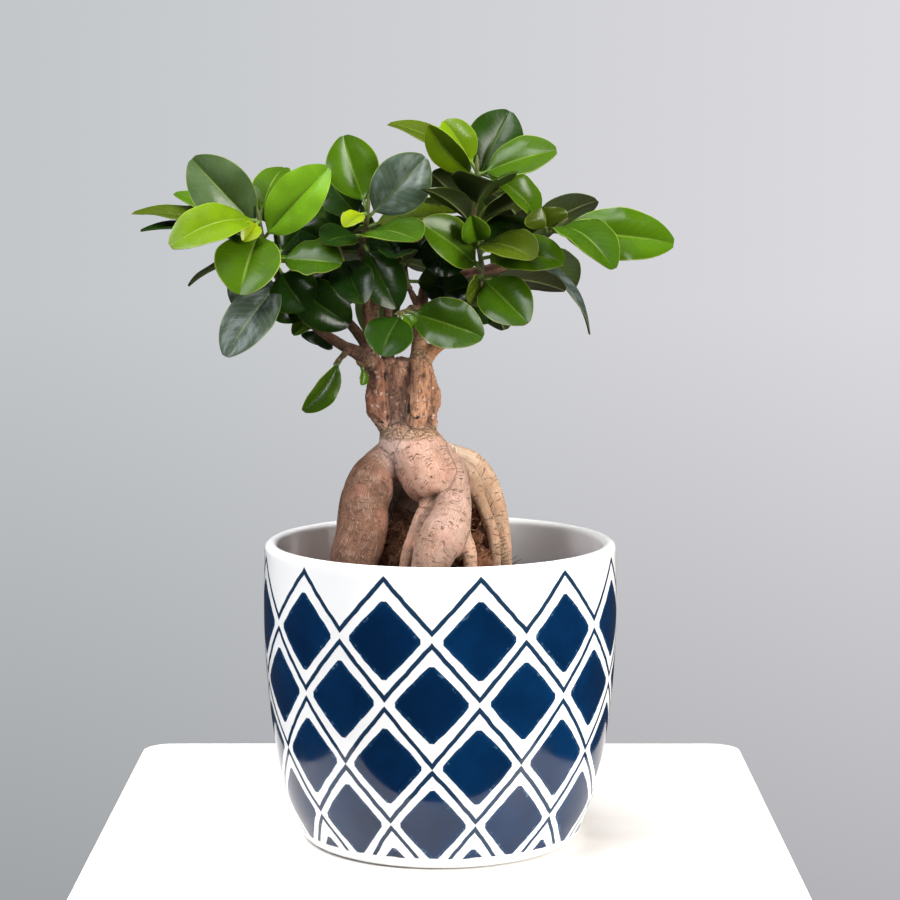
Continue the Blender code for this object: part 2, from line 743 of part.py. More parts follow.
def leaf_sections(base, tip, width, facing, arch, fold):
    """Rows of (middle, across, normal, half width, half thickness, fold) from petiole to tip."""
    chord = tip - base
    length = chord.length
    along = chord.normalized()
    normal = (facing - facing.dot(along) * along).normalized()
    petiole = min(PETIOLE_LENGTH, 0.25 * length) / length

    def middle(t):
        return base + chord * t + normal * (arch * length * 4 * t * (1 - t))

    def frame(t):
        ahead = (middle(t + 0.01) - middle(t - 0.01)).normalized()
        up = (normal - normal.dot(ahead) * ahead).normalized()
        return ahead.cross(up), up

    rows = [(middle(0), *frame(0), PETIOLE_WIDTH / 2, PETIOLE_THICKNESS / 2, 0)]
    for share in BLADE_ROWS:
        t = petiole + share * (1 - petiole)
        half = max(width * half_width(share), PETIOLE_WIDTH / 2)
        thickness = BLADE_THICKNESS if share else PETIOLE_THICKNESS
        rows.append((middle(t), *frame(t), half, thickness / 2, fold if share else 0))
    return rows


def leaf_mesh(rows, fatter=0.0, first=0):
    """Closed blade with a midrib line; both faces are split into like triangles."""
    shape = bmesh.new()
    sections = []
    for middle, across, up, half, thick, fold in rows[first:]:
        section = []
        for side, face in ((-1, 1), (0, 1), (1, 1), (1, -1), (0, -1), (-1, -1)):
            spot = middle + across * (side * half * math.cos(fold)) + up * (abs(side) * half * math.sin(fold))
            section.append(shape.verts.new(spot + up * (face * (thick + fatter))))
        sections.append(section)
    count = len(sections[0])
    for near, far in zip(sections, sections[1:]):
        for index in range(count):
            following = (index + 1) % count
            a, b, c, d = near[index], near[following], far[following], far[index]
            if index in (0, 4):
                shape.faces.new((a, b, d))
                shape.faces.new((b, c, d))
            else:
                shape.faces.new((a, b, c))
                shape.faces.new((a, c, d))
    for section, ends in ((sections[0], 1), (sections[-1], -1)):
        left = (section[0], section[5], section[4], section[1])
        right = (section[1], section[4], section[3], section[2])
        for face in (left, right):
            shape.faces.new(face[::ends])
    bmesh.ops.recalc_face_normals(shape, faces=shape.faces)
    mesh = bpy.data.meshes.new("leaf")
    shape.to_mesh(mesh)
    shape.free()
    return mesh


def tree_of(mesh):
    """Search tree of a mesh for crossing tests; the mesh is removed."""
    shape = bmesh.new()
    shape.from_mesh(mesh)
    bmesh.ops.triangulate(shape, faces=shape.faces)
    tree = BVHTree.FromBMesh(shape)
    shape.free()
    bpy.data.meshes.remove(mesh)
    return tree


def front_leaves(path, leaves):
    """Base, tip, width, facing, arch, fold and the way to slide the tip for leaves given by hand."""
    for along, across, up, behind, width, lift, yaw, arch, fold in leaves:
        base, tip = place_along(path, along), seen(across, up, behind)
        lift, yaw = math.radians(lift), math.radians(yaw)
        facing = Vector((math.cos(lift) * math.sin(yaw), -math.cos(lift) * math.cos(yaw), math.sin(lift)))
        yield base, tip, width * MM, facing, arch, math.radians(fold), (tip - EYE).normalized()


def back_leaves(path, count, low, high, bearing, draw):
    """Leaves in a spiral up the twig, the low ones flat and the top ones steep."""
    axis = (path[-3] - path[1]).normalized()
    right = Vector((1, 0, 0))
    side = (right - right.dot(axis) * axis).normalized()
    for index in range(count):
        share = (index + 1) / count
        steep = math.radians(low + (high - low) * share) + draw.uniform(-0.12, 0.12)
        outward = Matrix.Rotation(math.radians(bearing) + index * GOLDEN_ANGLE, 3, axis) @ side
        way = outward * math.cos(steep) + axis * math.sin(steep)
        base = place_along(path, 0.2 + 0.78 * share)
        length = BACK_LEAF_LENGTH * (1.08 - 0.22 * share) * draw.uniform(0.92, 1.05)
        width = BACK_LEAF_WIDTH * draw.uniform(0.9, 1.08) * (1.05 - 0.15 * share)
        facing = axis * math.cos(steep) - outward * math.sin(steep)
        fold = math.radians(draw.uniform(9, 17))
        yield base, base + way * length, width, facing, draw.uniform(0.05, 0.10), fold, facing


def slides(most):
    """0, then steps either way that grow."""
    yield 0
    for index in range(1, most + 1):
        yield SLIDE_STEP * index
        yield -SLIDE_STEP * index


def is_clear(name, whole, blade, others, placed):
    """Whether a leaf crosses no wood and no placed leaf; on its own twig only the blades count."""
    if any(whole.overlap(tree) for tree in others):
        return False
    for stem, other_whole, other_blade in placed:
        if blade.overlap(other_blade) if stem == name else whole.overlap(other_whole):
            return False
    return True


def make_shoots():
    """Every leafy stem. A leaf slides its tip clear of other pieces, or is left out where it can't."""
    draw = random.Random(SEED)
    paths = {}
    for name, (points, _) in FRONT_SHOOTS.items():
        paths[name] = twig_path(name, [seen(*row) for row in points])
    for name, (way, length, *_) in BACK_SHOOTS.items():
        end, _ = branch_end(name)
        way = Vector(way).normalized()
        paths[name] = twig_path(name, [end + way * length * MM * share for share in (0.45, 0.75, 1)])
    stems = {}
    for name, (path, radii) in paths.items():
        stems[name] = tree_of(tube_mesh(path, [radius + CLEAR for radius in radii], 8))
    wood = []
    for points in BRANCHES.values():
        wood.append(tree_of(branch_tube([(*row[:3], row[3] + CLEAR / MM) for row in points])))
    for points in BODY_LIMBS.values():
        wood.append(tree_of(tube_mesh(*limb_path(points, 3), 12)))
    placed = []
    for name, (path, radii) in paths.items():
        if name in FRONT_SHOOTS:
            leaves = front_leaves(path, FRONT_SHOOTS[name][1])
        else:
            leaves = back_leaves(path, *BACK_SHOOTS[name][2:], draw)
        others = wood + [tree for stem, tree in stems.items() if stem != name]
        meshes = [tube_mesh(path, radii, TWIG_SIDES)]
        for base, tip, width, facing, arch, fold, slide in leaves:
            for shift in slides(FRONT_SLIDES if name in FRONT_SHOOTS else BACK_SLIDES):
                rows = leaf_sections(base, tip + slide * shift, width, facing, arch, fold)
                whole = tree_of(leaf_mesh(rows, CLEAR))
                blade = tree_of(leaf_mesh(rows, CLEAR, 2))
                if is_clear(name, whole, blade, others, placed):
                    placed.append((name, whole, blade))
                    meshes.append(leaf_mesh(rows))
                    break
        united("shoot_" + name, meshes, material("leaf " + name, LEAF_GREEN, 0.35))


clear_scene()
make_pot()
make_grow_pot()
make_soil()
make_trunk()
make_shoots()
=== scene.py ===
"""Looks for the ginseng ficus in its lattice pot: fine leaves, bark, soil, glaze, light and camera.

Lists of places are in millimetres. The plant's own places are written as they show from the front:
across and up on the upright plane through the pot's axis, then how far behind that plane they lie.
"""

import math
import random

import bpy
import numpy as np
from mathutils import Matrix, Vector, noise
from mathutils.kdtree import KDTree


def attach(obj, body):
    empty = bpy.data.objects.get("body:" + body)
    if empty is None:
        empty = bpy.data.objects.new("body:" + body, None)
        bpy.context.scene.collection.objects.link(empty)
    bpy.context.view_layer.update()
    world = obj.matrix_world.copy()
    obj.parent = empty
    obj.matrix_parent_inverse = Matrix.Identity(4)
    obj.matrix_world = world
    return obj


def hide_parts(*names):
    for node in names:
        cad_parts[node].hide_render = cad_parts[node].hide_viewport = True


MM = 0.001
# The place that the plant's places are seen from
EYE = Vector((0.004, -0.990, 0.274))
SEED = 11

# Camera, backdrop and floor
CAMERA_PLACE = (0.0039, -0.990, 0.2742)
CAMERA_TILT = math.radians(83.2)
CAMERA_LENS = 100
CAMERA_SENSOR = 36
BACKDROP_LEFT = (0.545, 0.570, 0.590)
BACKDROP_RIGHT = (0.71, 0.70, 0.735)
BACKDROP_SPREAD = (-0.17, 0.17)
# Lowest and highest part of the backdrop's fall, and its strength at the foot
BACKDROP_FALL = (-0.29, -0.06)
BACKDROP_FOOT = 0.65
WHITE = (1.0, 1.0, 1.0)
AMBIENT = 0.26
REFLECTED_ROOM = 0.05
FLOOR_SIDE = 0.1375
FLOOR_BACK = 0.1522
FLOOR_FRONT = -0.106
FLOOR_CORNER = 0.013
FLOOR_CORNER_STEPS = 10

# Ceramic pot: outer radius and height up the wall
POT_HEIGHT = 120
POT_WALL = 5.2
POT_FLOOR = 7
POT_FOOT_RADIUS = 51.5
POT_CORNER = 5.5
POT_OUTLINE = [(57, 5), (61.6, 16), (64.7, 28), (67.8, 48), (69.5, 64), (70.5, 82), (70.6, 100), (70.3, 114)]
POT_SIDES = 220
GROW_SIDES = 120
AXIS_HOLE = 0.4

# Lattice on the pot: columns round it, the first column's bearing, and rows of lines and diamonds
COLUMNS = 12
FIRST_COLUMN = math.radians(12.6)
# Each line's height over the columns and between them
ZIGZAGS = [(115.4, 95.0), (69.7, 90.5), (65.7, 43.8), (20.9, 41.2), (17.8, -4.0)]
ZIGZAG_HALF_WIDTH = 0.88
ZIGZAG_EDGE = 0.14
ZIGZAG_SLOPE = 0.67
DIAMONDS_ON_COLUMNS = [92.0, 43.0, -6.0]
DIAMONDS_BETWEEN = [67.8, 19.0]
DIAMOND_HALF_HEIGHT = 15.8
DIAMOND_HALF_WIDTH = 0.405
DIAMOND_SWELL = 1.05
PATTERN_FOOT = 5.0
PATTERN_TOP = 116.5

# Nursery pot and soil
GROW_TOP = 98
GROW_WALL = 1.2
GROW_FOOT_RADIUS = 44
GROW_TOP_RADIUS = 58.5
GROW_RIM_RADIUS = 61.5
GROW_RIM_HEIGHT = 6
GROW_FLOOR = 7.3
SOIL_EDGE_HEIGHT = 95
SOIL_CROWN_HEIGHT = 109.5
MOUND_POWER = 3.2

# Leaves and twigs
PETIOLE_LENGTH = 0.0045
PETIOLE_RADIUS = 0.0007
WIDEST = 0.53
TWIG_RADIUS = 0.00135
TWIG_TIP_RADIUS = 0.00095
BUD_LENGTH = 0.006
BUD_TIP_RADIUS = 0.0003
GAP = 0.0003
SLIDE_STEP = 0.003
FRONT_SLIDES = 12
BACK_SLIDES = 7
GOLDEN_ANGLE = math.radians(137.5)
BACK_LEAF_LENGTH = 0.037
BACK_LEAF_WIDTH = 0.0195
CAD_LAST_ROW = 0.98
CAD_HALF_BLADE = 0.00035
FOUND_WITHIN = 0.0002

# Roots, stump and grafted stems: across, up, behind, radius
BODY_LIMBS = {
    "neck": [
        (-11.6, 152.5, -3.5, 11.6), (-12.4, 158, -2.2, 12.2), (-13, 163, 0.5, 11.3), (-14, 170, 2, 10.6),
        (-15.4, 178, 3, 10), (-16.5, 185, 2.5, 8.4), (-16.8, 192.5, 1, 5.4),
    ],
    "left_graft": [
        (-20.5, 163, -3, 3), (-22.8, 168, -5, 3.9), (-25, 173, -6, 4.7), (-25.4, 179, -6, 4.6),
        (-24.6, 185, -4.5, 3.9), (-26.4, 192, -2, 3.8),
    ],
    "right_graft": [
        (-10, 162, -6, 3), (-9.4, 168, -8.5, 4.2), (-8.6, 174.5, -8.5, 4.8), (-7.8, 182, -6.5, 4.2),
        (-7.4, 188, -3.5, 3.8), (-8.8, 193, -1, 3.4),
    ],
    "right_flap": [
        (-5, 164, -1, 4), (-4.4, 171, -1, 3.7), (-3.2, 176.5, -1, 3.9), (-4, 182, -1, 3.4),
        (-5.2, 190, -1, 2),
    ],
    "back_graft": [(-15, 165, 6, 8), (-18, 178, 9, 5), (-20, 188, 11, 3.6)],
    "knob": [(-4, 160, 0, 4), (0.9, 160.3, -1, 2.3)],
    "left_root": [
        (-17, 157, -1, 7.4), (-20.8, 151.4, -5, 7), (-26.2, 146.2, -9, 8.8), (-28.6, 140.5, -12.5, 9.9),
        (-30.2, 134, -15.5, 9.4), (-30.4, 127, -18, 9.8), (-32.4, 119, -21, 10.1), (-34.8, 111, -23, 9.6),
        (-36, 98, -26, 6.5),
    ],
    "belly": [
        (-10.8, 157, -4, 11.4), (-8.6, 152.6, -6.6, 11.6), (-6, 148, -9.2, 11.2),
        (-4.3, 143.8, -12.2, 10.7), (-3.4, 140, -14.6, 9.5), (-2.8, 137, -16.3, 6.7),
    ],
    "front_root": [
        (2, 150, -6, 8.4), (4.2, 143.5, -10, 7.4), (5.2, 137.5, -15, 7.1), (5, 131.8, -20.5, 7.6),
        (3.4, 126, -25, 8.8), (0.6, 120, -29, 9.2), (-2, 115.5, -31, 8.4), (-4.2, 109, -34, 7.4),
        (-6, 99, -36, 5.5),
    ],
    "front_slender_root": [
        (-3, 136, -15, 3.6), (-7.5, 130, -20, 2.9), (-10.4, 122.5, -22, 2.7), (-13, 114.5, -24.5, 2.6),
        (-15.4, 101, -26, 2.2),
    ],
    "front_prong": [(8, 122, -26, 4.4), (11.4, 116, -29, 3.2), (12.2, 110, -31, 2.8), (13, 101, -32, 2)],
    "right_slender_root": [
        (6, 148, 0, 6), (12, 143.5, -2, 5), (14.6, 138.5, -5, 3.6), (17.6, 132, -8, 2.7),
        (20.3, 125.5, -10, 2.5), (21.7, 119, -12, 2.5), (22.4, 111, -13, 2.4), (23, 101, -14, 2),
    ],
    "right_root": [
        (-4, 154, 5, 8), (4, 151, 8, 7.6), (10.5, 149, 9, 7.8), (15.5, 144.5, 8, 7), (19.3, 138.5, 7, 5.7),
        (22, 131.5, 6, 4.7), (24.2, 123, 5, 3.9), (25.6, 114, 4, 3.4), (26.5, 101, 2, 2.5),
    ],
    "back_left_root": [
        (-18, 154, 6, 8), (-26, 147, 14, 8.2), (-32, 137, 21, 8), (-34, 124, 27, 8), (-35, 109, 31, 7.6),
        (-36, 98, 33, 5.5),
    ],
    "back_right_root": [
        (-2, 152, 8, 8), (5, 146, 16, 8), (10, 136, 19, 7.6), (13, 124, 22, 7.4), (14, 110, 26, 7.2),
        (14, 98, 28, 5),
    ],
    "back_root": [
        (-14, 152, 6, 8), (-15, 144, 9, 7.6), (-16, 132, 12, 8), (-16, 118, 14, 8.4), (-15, 108, 16, 7.8),
        (-14, 98, 18, 5.5),
    ],
}

# Woody branches, each ending where a leafy stem starts: across, up, behind, radius
BRANCHES = {
    "left_outer": [
        (-26, 189, -2, 4), (-32, 194.5, -2, 3), (-38, 197.5, -2, 2.4), (-45, 202, -1, 2.1),
        (-54, 209, -1, 1.9), (-59, 215, 1, 1.6),
    ],
    "left_inner": [(-50, 206, -1, 1.8), (-54, 209.5, -6, 1.5), (-57, 213.5, -9, 1.4)],
    "left_low": [(-41, 199.5, -1, 1.9), (-43.5, 200, 4, 1.5), (-45.5, 202, 7, 1.4)],
    "left_hanging": [(-36, 197, -2, 2), (-37, 195.8, -5, 1.5), (-37.8, 194.8, -7, 1.4)],
    "sprout": [(-28, 190.5, -3, 2.4), (-29.4, 191, -6.5, 1.6), (-30.4, 190.6, -9, 1.3)],
    "centre": [
        (-27, 190, -2, 3.6), (-28, 200, -2, 2.3), (-29, 210, -2, 1.8), (-29.5, 219, -3, 1.7),
        (-31, 227, -4, 1.6), (-31, 233, -5, 1.5),
    ],
    "centre_left": [(-30.4, 224, -3.6, 1.5), (-33.5, 227.5, -6, 1.4), (-36.5, 230, -7, 1.4)],
    "right_top": [
        (-9, 190, -1, 3.4), (-8.5, 200, -1, 2.9), (-8.3, 207, -2, 2.6), (-7, 215, -2, 2.3),
        (-5.5, 222.5, -1, 2.2), (0, 230, 0, 1.8), (5, 235, 1, 1.6), (9.5, 238.5, 1, 1.5),
    ],
    "centre_low": [(-8.2, 209, -2, 2.2), (-8.5, 212.5, -8, 1.6), (-10.5, 212.8, -12, 1.4)],
    "inner": [(-7.6, 211, -2, 2), (-10, 216, -5, 1.6), (-12, 220, -7, 1.4)],
    "right_outer": [(-5.5, 221, -1, 2), (4, 225, 3, 1.8), (16, 228, 4, 1.6), (28, 231, -1, 1.5)],
    "right_mid": [
        (-7, 191, -1, 3.2), (-2, 197, -2, 2.7), (5.5, 202, -4, 2.4), (10, 207, -6, 1.9),
        (12.5, 212, -8, 1.5),
    ],
    "back_left": [(-25, 186, 3, 3.4), (-30, 199, 14, 2.5), (-41, 213, 30, 1.8), (-48, 224, 38, 1.5)],
    "back_mid": [
        (-20, 185, 10, 3.4), (-21, 197, 16, 2.6), (-21, 208, 25, 2.1), (-20, 217, 35, 1.8),
        (-21, 226, 43, 1.5),
    ],
    "back_right": [
        (-8.5, 188, 4, 3.2), (-7.5, 200, 12, 2.4), (-5, 210, 21, 2.1), (4, 219, 34, 1.8),
        (10, 228, 43, 1.5),
    ],
    "right_back": [(2, 224.5, 2.4, 1.8), (14, 227, 15, 1.7), (26, 228, 25, 1.6), (33, 230, 30, 1.5)],
    "top_back": [(-28.4, 204, -2, 2.1), (-24, 217, 8, 1.8), (-15, 228, 17, 1.6), (-11, 234, 20, 1.5)],
}

# Leafy stems that show from the front. Twig: across, up, behind. Leaf: share along the twig, its tip's
# across, up and behind, width, lift and yaw of the upper face, arch, fold in degrees and tone.
FRONT_SHOOTS = {
    "left_outer": (
        [(-66, 228, -2), (-70, 239, -8), (-71.5, 248, -13)],
        [
            (0.70, -122, 250, 2, 19, 76, 0, 0.07, 10, "olive"),
            (0.55, -119, 243, -8, 17, 80, 0, 0.10, 10, "dark"),
            (0.90, -105, 258, 8, 11, 60, 0, 0.04, 12, "bright"),
            (0.85, -98, 272, -18, 23, 12, -8, 0.06, 14, "pale_sheen"),
            (0.95, -61, 268, 4, 14, 78, 0, 0.16, 12, "fresh"),
            (0.97, -107, 236.5, -34, 19, 40, 0, 0.14, 12, "lime"),
            (0.97, -78, 239, -27, 8, 30, 20, 0.10, 22, "young"),
            (0.75, -43.5, 268.5, -22, 20, 22, 10, 0.06, 16, "bright_sheen"),
            (0.88, -79.5, 217.5, -36, 25, 24, 0, 0.06, 10, "fresh"),
            (0.35, -82, 213.5, -18, 19, 4, -20, 0.08, 16, "grey_sheen"),
            (0.45, -100, 221, -10, 10, 84, 0, 0.14, 14, "purple"),
            (0.50, -49, 246, 8, 19, 24, 0, 0.05, 14, "dark"),
        ],
    ),
    "left_inner": (
        [(-60, 219, -12), (-64, 226, -14), (-65.5, 233, -15)],
        [
            (0.95, -38.5, 230, -24, 20, 48, 0, 0.05, 16, "mid"),
            (0.85, -53, 212, -20, 20, 6, 6, 0.05, 14, "dark"),
            (0.55, -85.5, 193, -16, 18.5, 10, -10, 0.05, 12, "grey_sheen"),
            (0.30, -57, 207, -6, 17, 12, 10, 0.06, 14, "dark"),
            (0.65, -35.5, 206, -8, 19, 6, 8, 0.06, 14, "dark"),
            (0.97, -47.5, 253.5, -6, 22, 16, 14, 0.05, 16, "dark"),
            (0.45, -32, 221, 6, 19, 14, 0, 0.05, 14, "deep"),
            (0.20, -38, 209, 8, 18, 10, 0, 0.05, 14, "deep"),
            (0.75, -44, 238, 12, 18, 20, 0, 0.05, 14, "dark"),
        ],
    ),
    "left_low": (
        [(-46.5, 204, 9), (-47, 208.5, 12)],
        [
            (0.55, -48.5, 198, 6, 14, 8, -10, 0.05, 14, "dark"),
            (0.90, -58.5, 202, -4, 8, 30, -10, 0.18, 26, "fresh"),
        ],
    ),
    "left_hanging": (
        [(-38.8, 193.8, -10), (-39.6, 193, -11.5)],
        [
            (0.35, -55, 171.6, -14, 12.5, 16, 52, 0.05, 30, "mid"),
        ],
    ),
    "sprout": (
        [(-31, 190, -11), (-31.6, 190.4, -13)],
        [
            (0.45, -31.4, 182, -13, 6.6, 6, 62, 0.08, 16, "bright"),
        ],
    ),
    "centre": (
        [(-30.5, 239, -9), (-29, 247, -14), (-28.6, 252, -16)],
        [
            (0.95, -38, 281, -12, 20.5, 6, 6, -0.05, 12, "bright"),
            (0.90, -38, 244.5, -26, 9, 24, -20, 0.12, 20, "young"),
            (0.80, -5.6, 272.6, -18, 22, 10, 14, 0.06, 14, "slate_sheen"),
            (0.70, -43.5, 262.5, 0, 16, 20, -14, 0.06, 14, "dark"),
            (0.50, -8.5, 239, -42, 22, 58, 0, 0.06, 12, "mid"),
            (0.60, 6.8, 250.5, -16, 18, 74, 0, 0.05, 14, "olive"),
            (0.30, -17, 212.3, -18, 18, 4, 16, 0.06, 14, "dark"),
            (0.45, -46.5, 238, -14, 17, 50, -10, 0.06, 14, "dark"),
        ],
    ),
    "centre_left": (
        [(-39, 233, -8), (-40.5, 237.5, -8)],
        [
            (0.40, -30, 214, -12, 17, 8, 4, 0.06, 14, "deep"),
            (0.70, -55, 244, 8, 16, 40, -10, 0.06, 14, "deep"),
            (0.90, -36, 256, 6, 16, 14, 0, 0.06, 14, "deep"),
        ],
    ),
    "centre_low": (
        [(-13, 211.6, -17), (-15.4, 211, -22)],
        [
            (0.60, 17.5, 201, -36, 20, 14, 6, 0.05, 12, "mid"),
            (0.85, -23.5, 193.5, -38, 18.5, 14, -6, 0.06, 8, "gloss"),
            (0.35, -2.5, 200, -18, 8.5, 8, 20, 0.08, 20, "bright"),
            (0.95, -10.8, 204.5, -24, 6, 10, 20, 0.10, 22, "bright"),
        ],
    ),
    "inner": (
        [(-13.4, 224.5, -8), (-14, 230, -9)],
        [
            (0.70, -24, 243, 4, 16, 50, -10, 0.06, 14, "deep"),
            (0.90, -2, 243, 2, 17, 44, 10, 0.06, 14, "deep"),
            (0.97, -19, 232, -38, 15, 60, 0, 0.08, 14, "deep"),
            (0.35, 9, 222, 8, 18, 10, 0, 0.05, 14, "deep"), (0.15, 3, 207, 6, 17, 8, 0, 0.05, 14, "deep"),
        ],
    ),
    "right_top": (
        [(13, 247, -3), (14.4, 257, -7), (14.5, 267, -9)],
        [
            (0.80, -20.8, 285, 2, 17, 72, 0, 0.14, 10, "olive"),
            (0.90, -4.5, 285, -4, 14, 10, -34, 0.05, 22, "lime"),
            (0.97, 1.5, 286.5, -15, 14, 8, 20, 0.08, 22, "lime"),
            (0.85, 27.5, 290.5, 0, 21.5, 4, 4, -0.04, 10, "gloss"),
            (0.92, 46.4, 274.6, -16, 18.5, 40, 0, 0.06, 14, "fresh"),
            (0.40, -3.6, 266.3, -10, 19, 136, 0, 0.06, 12, "purple"),
            (0.30, -5.8, 259.6, -16, 14, 98, 0, 0.05, 14, "dark"),
            (0.55, 21, 262.5, -40, 27, 90, 0, 0.04, 24, "dark"),
            (0.97, 38, 245.5, -18, 16, 14, 52, 0.20, 22, "bright"),
            (0.25, 40, 257.5, 4, 18, 116, 0, 0.08, 12, "olive"),
        ],
    ),
    "right_mid": (
        [(15.5, 220, -10), (16.6, 229, -12), (15, 238, -14)],
        [
            (0.85, 37, 246, -2, 19, 60, 0, 0.07, 12, "dark"),
            (0.60, -8, 246.5, -34, 19.5, 36, -6, 0.05, 14, "fresh"),
            (0.95, 12.2, 249.5, -26, 13, 8, 0, 0.06, 32, "bright"),
            (0.97, 37.5, 231.8, -38, 19.5, 54, 0, 0.10, 12, "olive"),
            (0.78, 49.6, 230.5, -27, 20, 46, 0, 0.09, 12, "bright"),
            (0.50, 35, 206.4, -38, 20, 10, 4, 0.05, 12, "mid"),
            (0.35, 19.2, 206.4, -16, 17, 6, -10, 0.05, 14, "dark"),
            (0.40, 1.4, 218.5, -8, 16, 8, -16, 0.06, 14, "dark"),
            (0.55, 10, 216.5, -24, 13, 6, 74, 0.06, 14, "olive"),
            (0.45, 50, 219.5, -4, 17, 122, 0, 0.08, 12, "purple"),
            (0.70, -8, 236, 6, 18, 16, 0, 0.05, 14, "deep"),
            (0.25, 38, 226, 8, 18, 14, 0, 0.05, 14, "dark"),
        ],
    ),
    "right_outer": (
        [(33, 234, -5), (40, 239.5, -10), (46, 244.5, -13)],
        [
            (0.90, 93, 238, -22, 21, 18, 6, 0.05, 12, "bright"),
            (0.97, 67, 237, -26, 13, 36, 0, 0.08, 26, "young"),
            (0.85, 68.8, 227.5, -44, 20, 58, 10, 0.18, 14, "mid"),
            (0.80, 40, 252.5, 2, 17, 22, 0, 0.05, 12, "olive"),
            (0.25, 59.2, 202, -4, 12, 4, 90, 0.12, 12, "grey_sheen"),
        ],
    ),
}

# Leafy stems behind: growing direction, length in mm, number of leaves, lowest and highest slope, bearing.
BACK_SHOOTS = {
    "back_left": ((-0.25, 0.30, 0.92), 16, 9, -36, 34, 200),
    "back_mid": ((-0.05, 0.45, 0.89), 16, 9, -40, 26, 100),
    "back_right": ((0.05, 0.50, 0.86), 15, 9, -36, 28, 60),
    "right_back": ((0.15, 0.60, 0.78), 14, 7, -14, 24, 140),
    "top_back": ((0.00, 0.10, 0.99), 9, 8, -44, 12, 250),
}

# Tones of the leaves' upper faces
LEAF_TONES = {
    "deep": (0.0035, 0.013, 0.0015),
    "dark": (0.008, 0.027, 0.002),
    "gloss": (0.014, 0.042, 0.003),
    "mid": (0.030, 0.074, 0.002),
    "fresh": (0.043, 0.097, 0.002),
    "bright": (0.050, 0.118, 0.002),
    "lime": (0.110, 0.190, 0.003),
    # Painted sheen: a brighter green for a leaf that faces away from the lamps
    "bright_sheen": (0.155, 0.330, 0.012),
    "young": (0.220, 0.290, 0.004),
    "olive": (0.052, 0.078, 0.004),
    # Painted sheen: the next three tones are greyed and lightened where glossy leaves mirror the light
    "grey_sheen": (0.040, 0.056, 0.046),
    "slate_sheen": (0.060, 0.090, 0.064),
    "pale_sheen": (0.062, 0.105, 0.036),
    "purple": (0.022, 0.028, 0.010),
}
BACK_TONES = ["dark", "mid", "gloss", "fresh", "dark", "bright"]
TWIG_TONE = (0.11, 0.075, 0.035)
PETIOLE_TONE = (0.13, 0.20, 0.045)

# Shape of a fine blade
BLADE_ACROSS = (0.0, 0.07, 0.2, 0.38, 0.58, 0.78, 0.93, 1.0)
BLADE_SHARES = (0.0, 0.02, 0.05, 0.09, 0.14, 0.2, 0.27, 0.34, 0.41, 0.48)
BLADE_SHARES += (0.55, 0.62, 0.69, 0.76, 0.82, 0.87, 0.91, 0.945, 0.966, 0.977, 0.983)
PETIOLE_SHARES = (-1.0, -0.7, -0.4, -0.15)
BLADE_THIN = 0.00042
MIDRIB_DEPTH = 0.00022
MIDRIB_RIDGE = 0.00045
TWIG_SIDES = 12


def seen(across, up, behind):
    """The point so far behind the pot's axis that shows at this place on the plane of the axis."""
    on_plane = Vector((across * MM, 0, up * MM))
    return EYE + (on_plane - EYE) * (1 - behind * MM / EYE.y)


def smooth_path(points, steps):
    """Catmull-Rom curve through rows of numbers, with this many steps between two rows."""
    rows = np.array(points, float)
    ends = np.vstack([2 * rows[0] - rows[1], rows, 2 * rows[-1] - rows[-2]])
    path = []
    for before, start, end, after in zip(ends, ends[1:], ends[2:], ends[3:]):
        for t in np.arange(steps) / steps:
            path.append(
                start
                + 0.5 * t * (end - before)
                + t**2 * (before - 2.5 * start + 2 * end - 0.5 * after)
                + 0.5 * t**3 * (3 * start - before - 3 * end + after)
            )
    path.append(rows[-1])
    return path


def limb_path(points, steps):
    """Places and radii along a limb given as across, up, behind and radius."""
    path = smooth_path(points, steps)
    return [seen(*row[:3]) for row in path], [row[3] * MM for row in path]


def circle(sides):
    """Cosine and sine of so many even turns."""
    turns = [2 * math.pi * k / sides for k in range(sides)]
    return [(math.cos(turn), math.sin(turn)) for turn in turns]


def transport(places):
    """Along, side and other side at each place of a path, turning as little as can be."""
    frames = []
    side = None
    for index in range(len(places)):
        ahead = (places[min(index + 1, len(places) - 1)] - places[max(index - 1, 0)]).normalized()
        if side is None:
            side = ahead.orthogonal()
        side = (side - side.dot(ahead) * ahead).normalized()
        frames.append((ahead, side, ahead.cross(side)))
    return frames


def add_attribute(mesh, name, kind, key, values):
    layer = mesh.attributes.new(name, kind, "POINT")
    layer.data.foreach_set(key, np.array(values, np.float32).ravel())


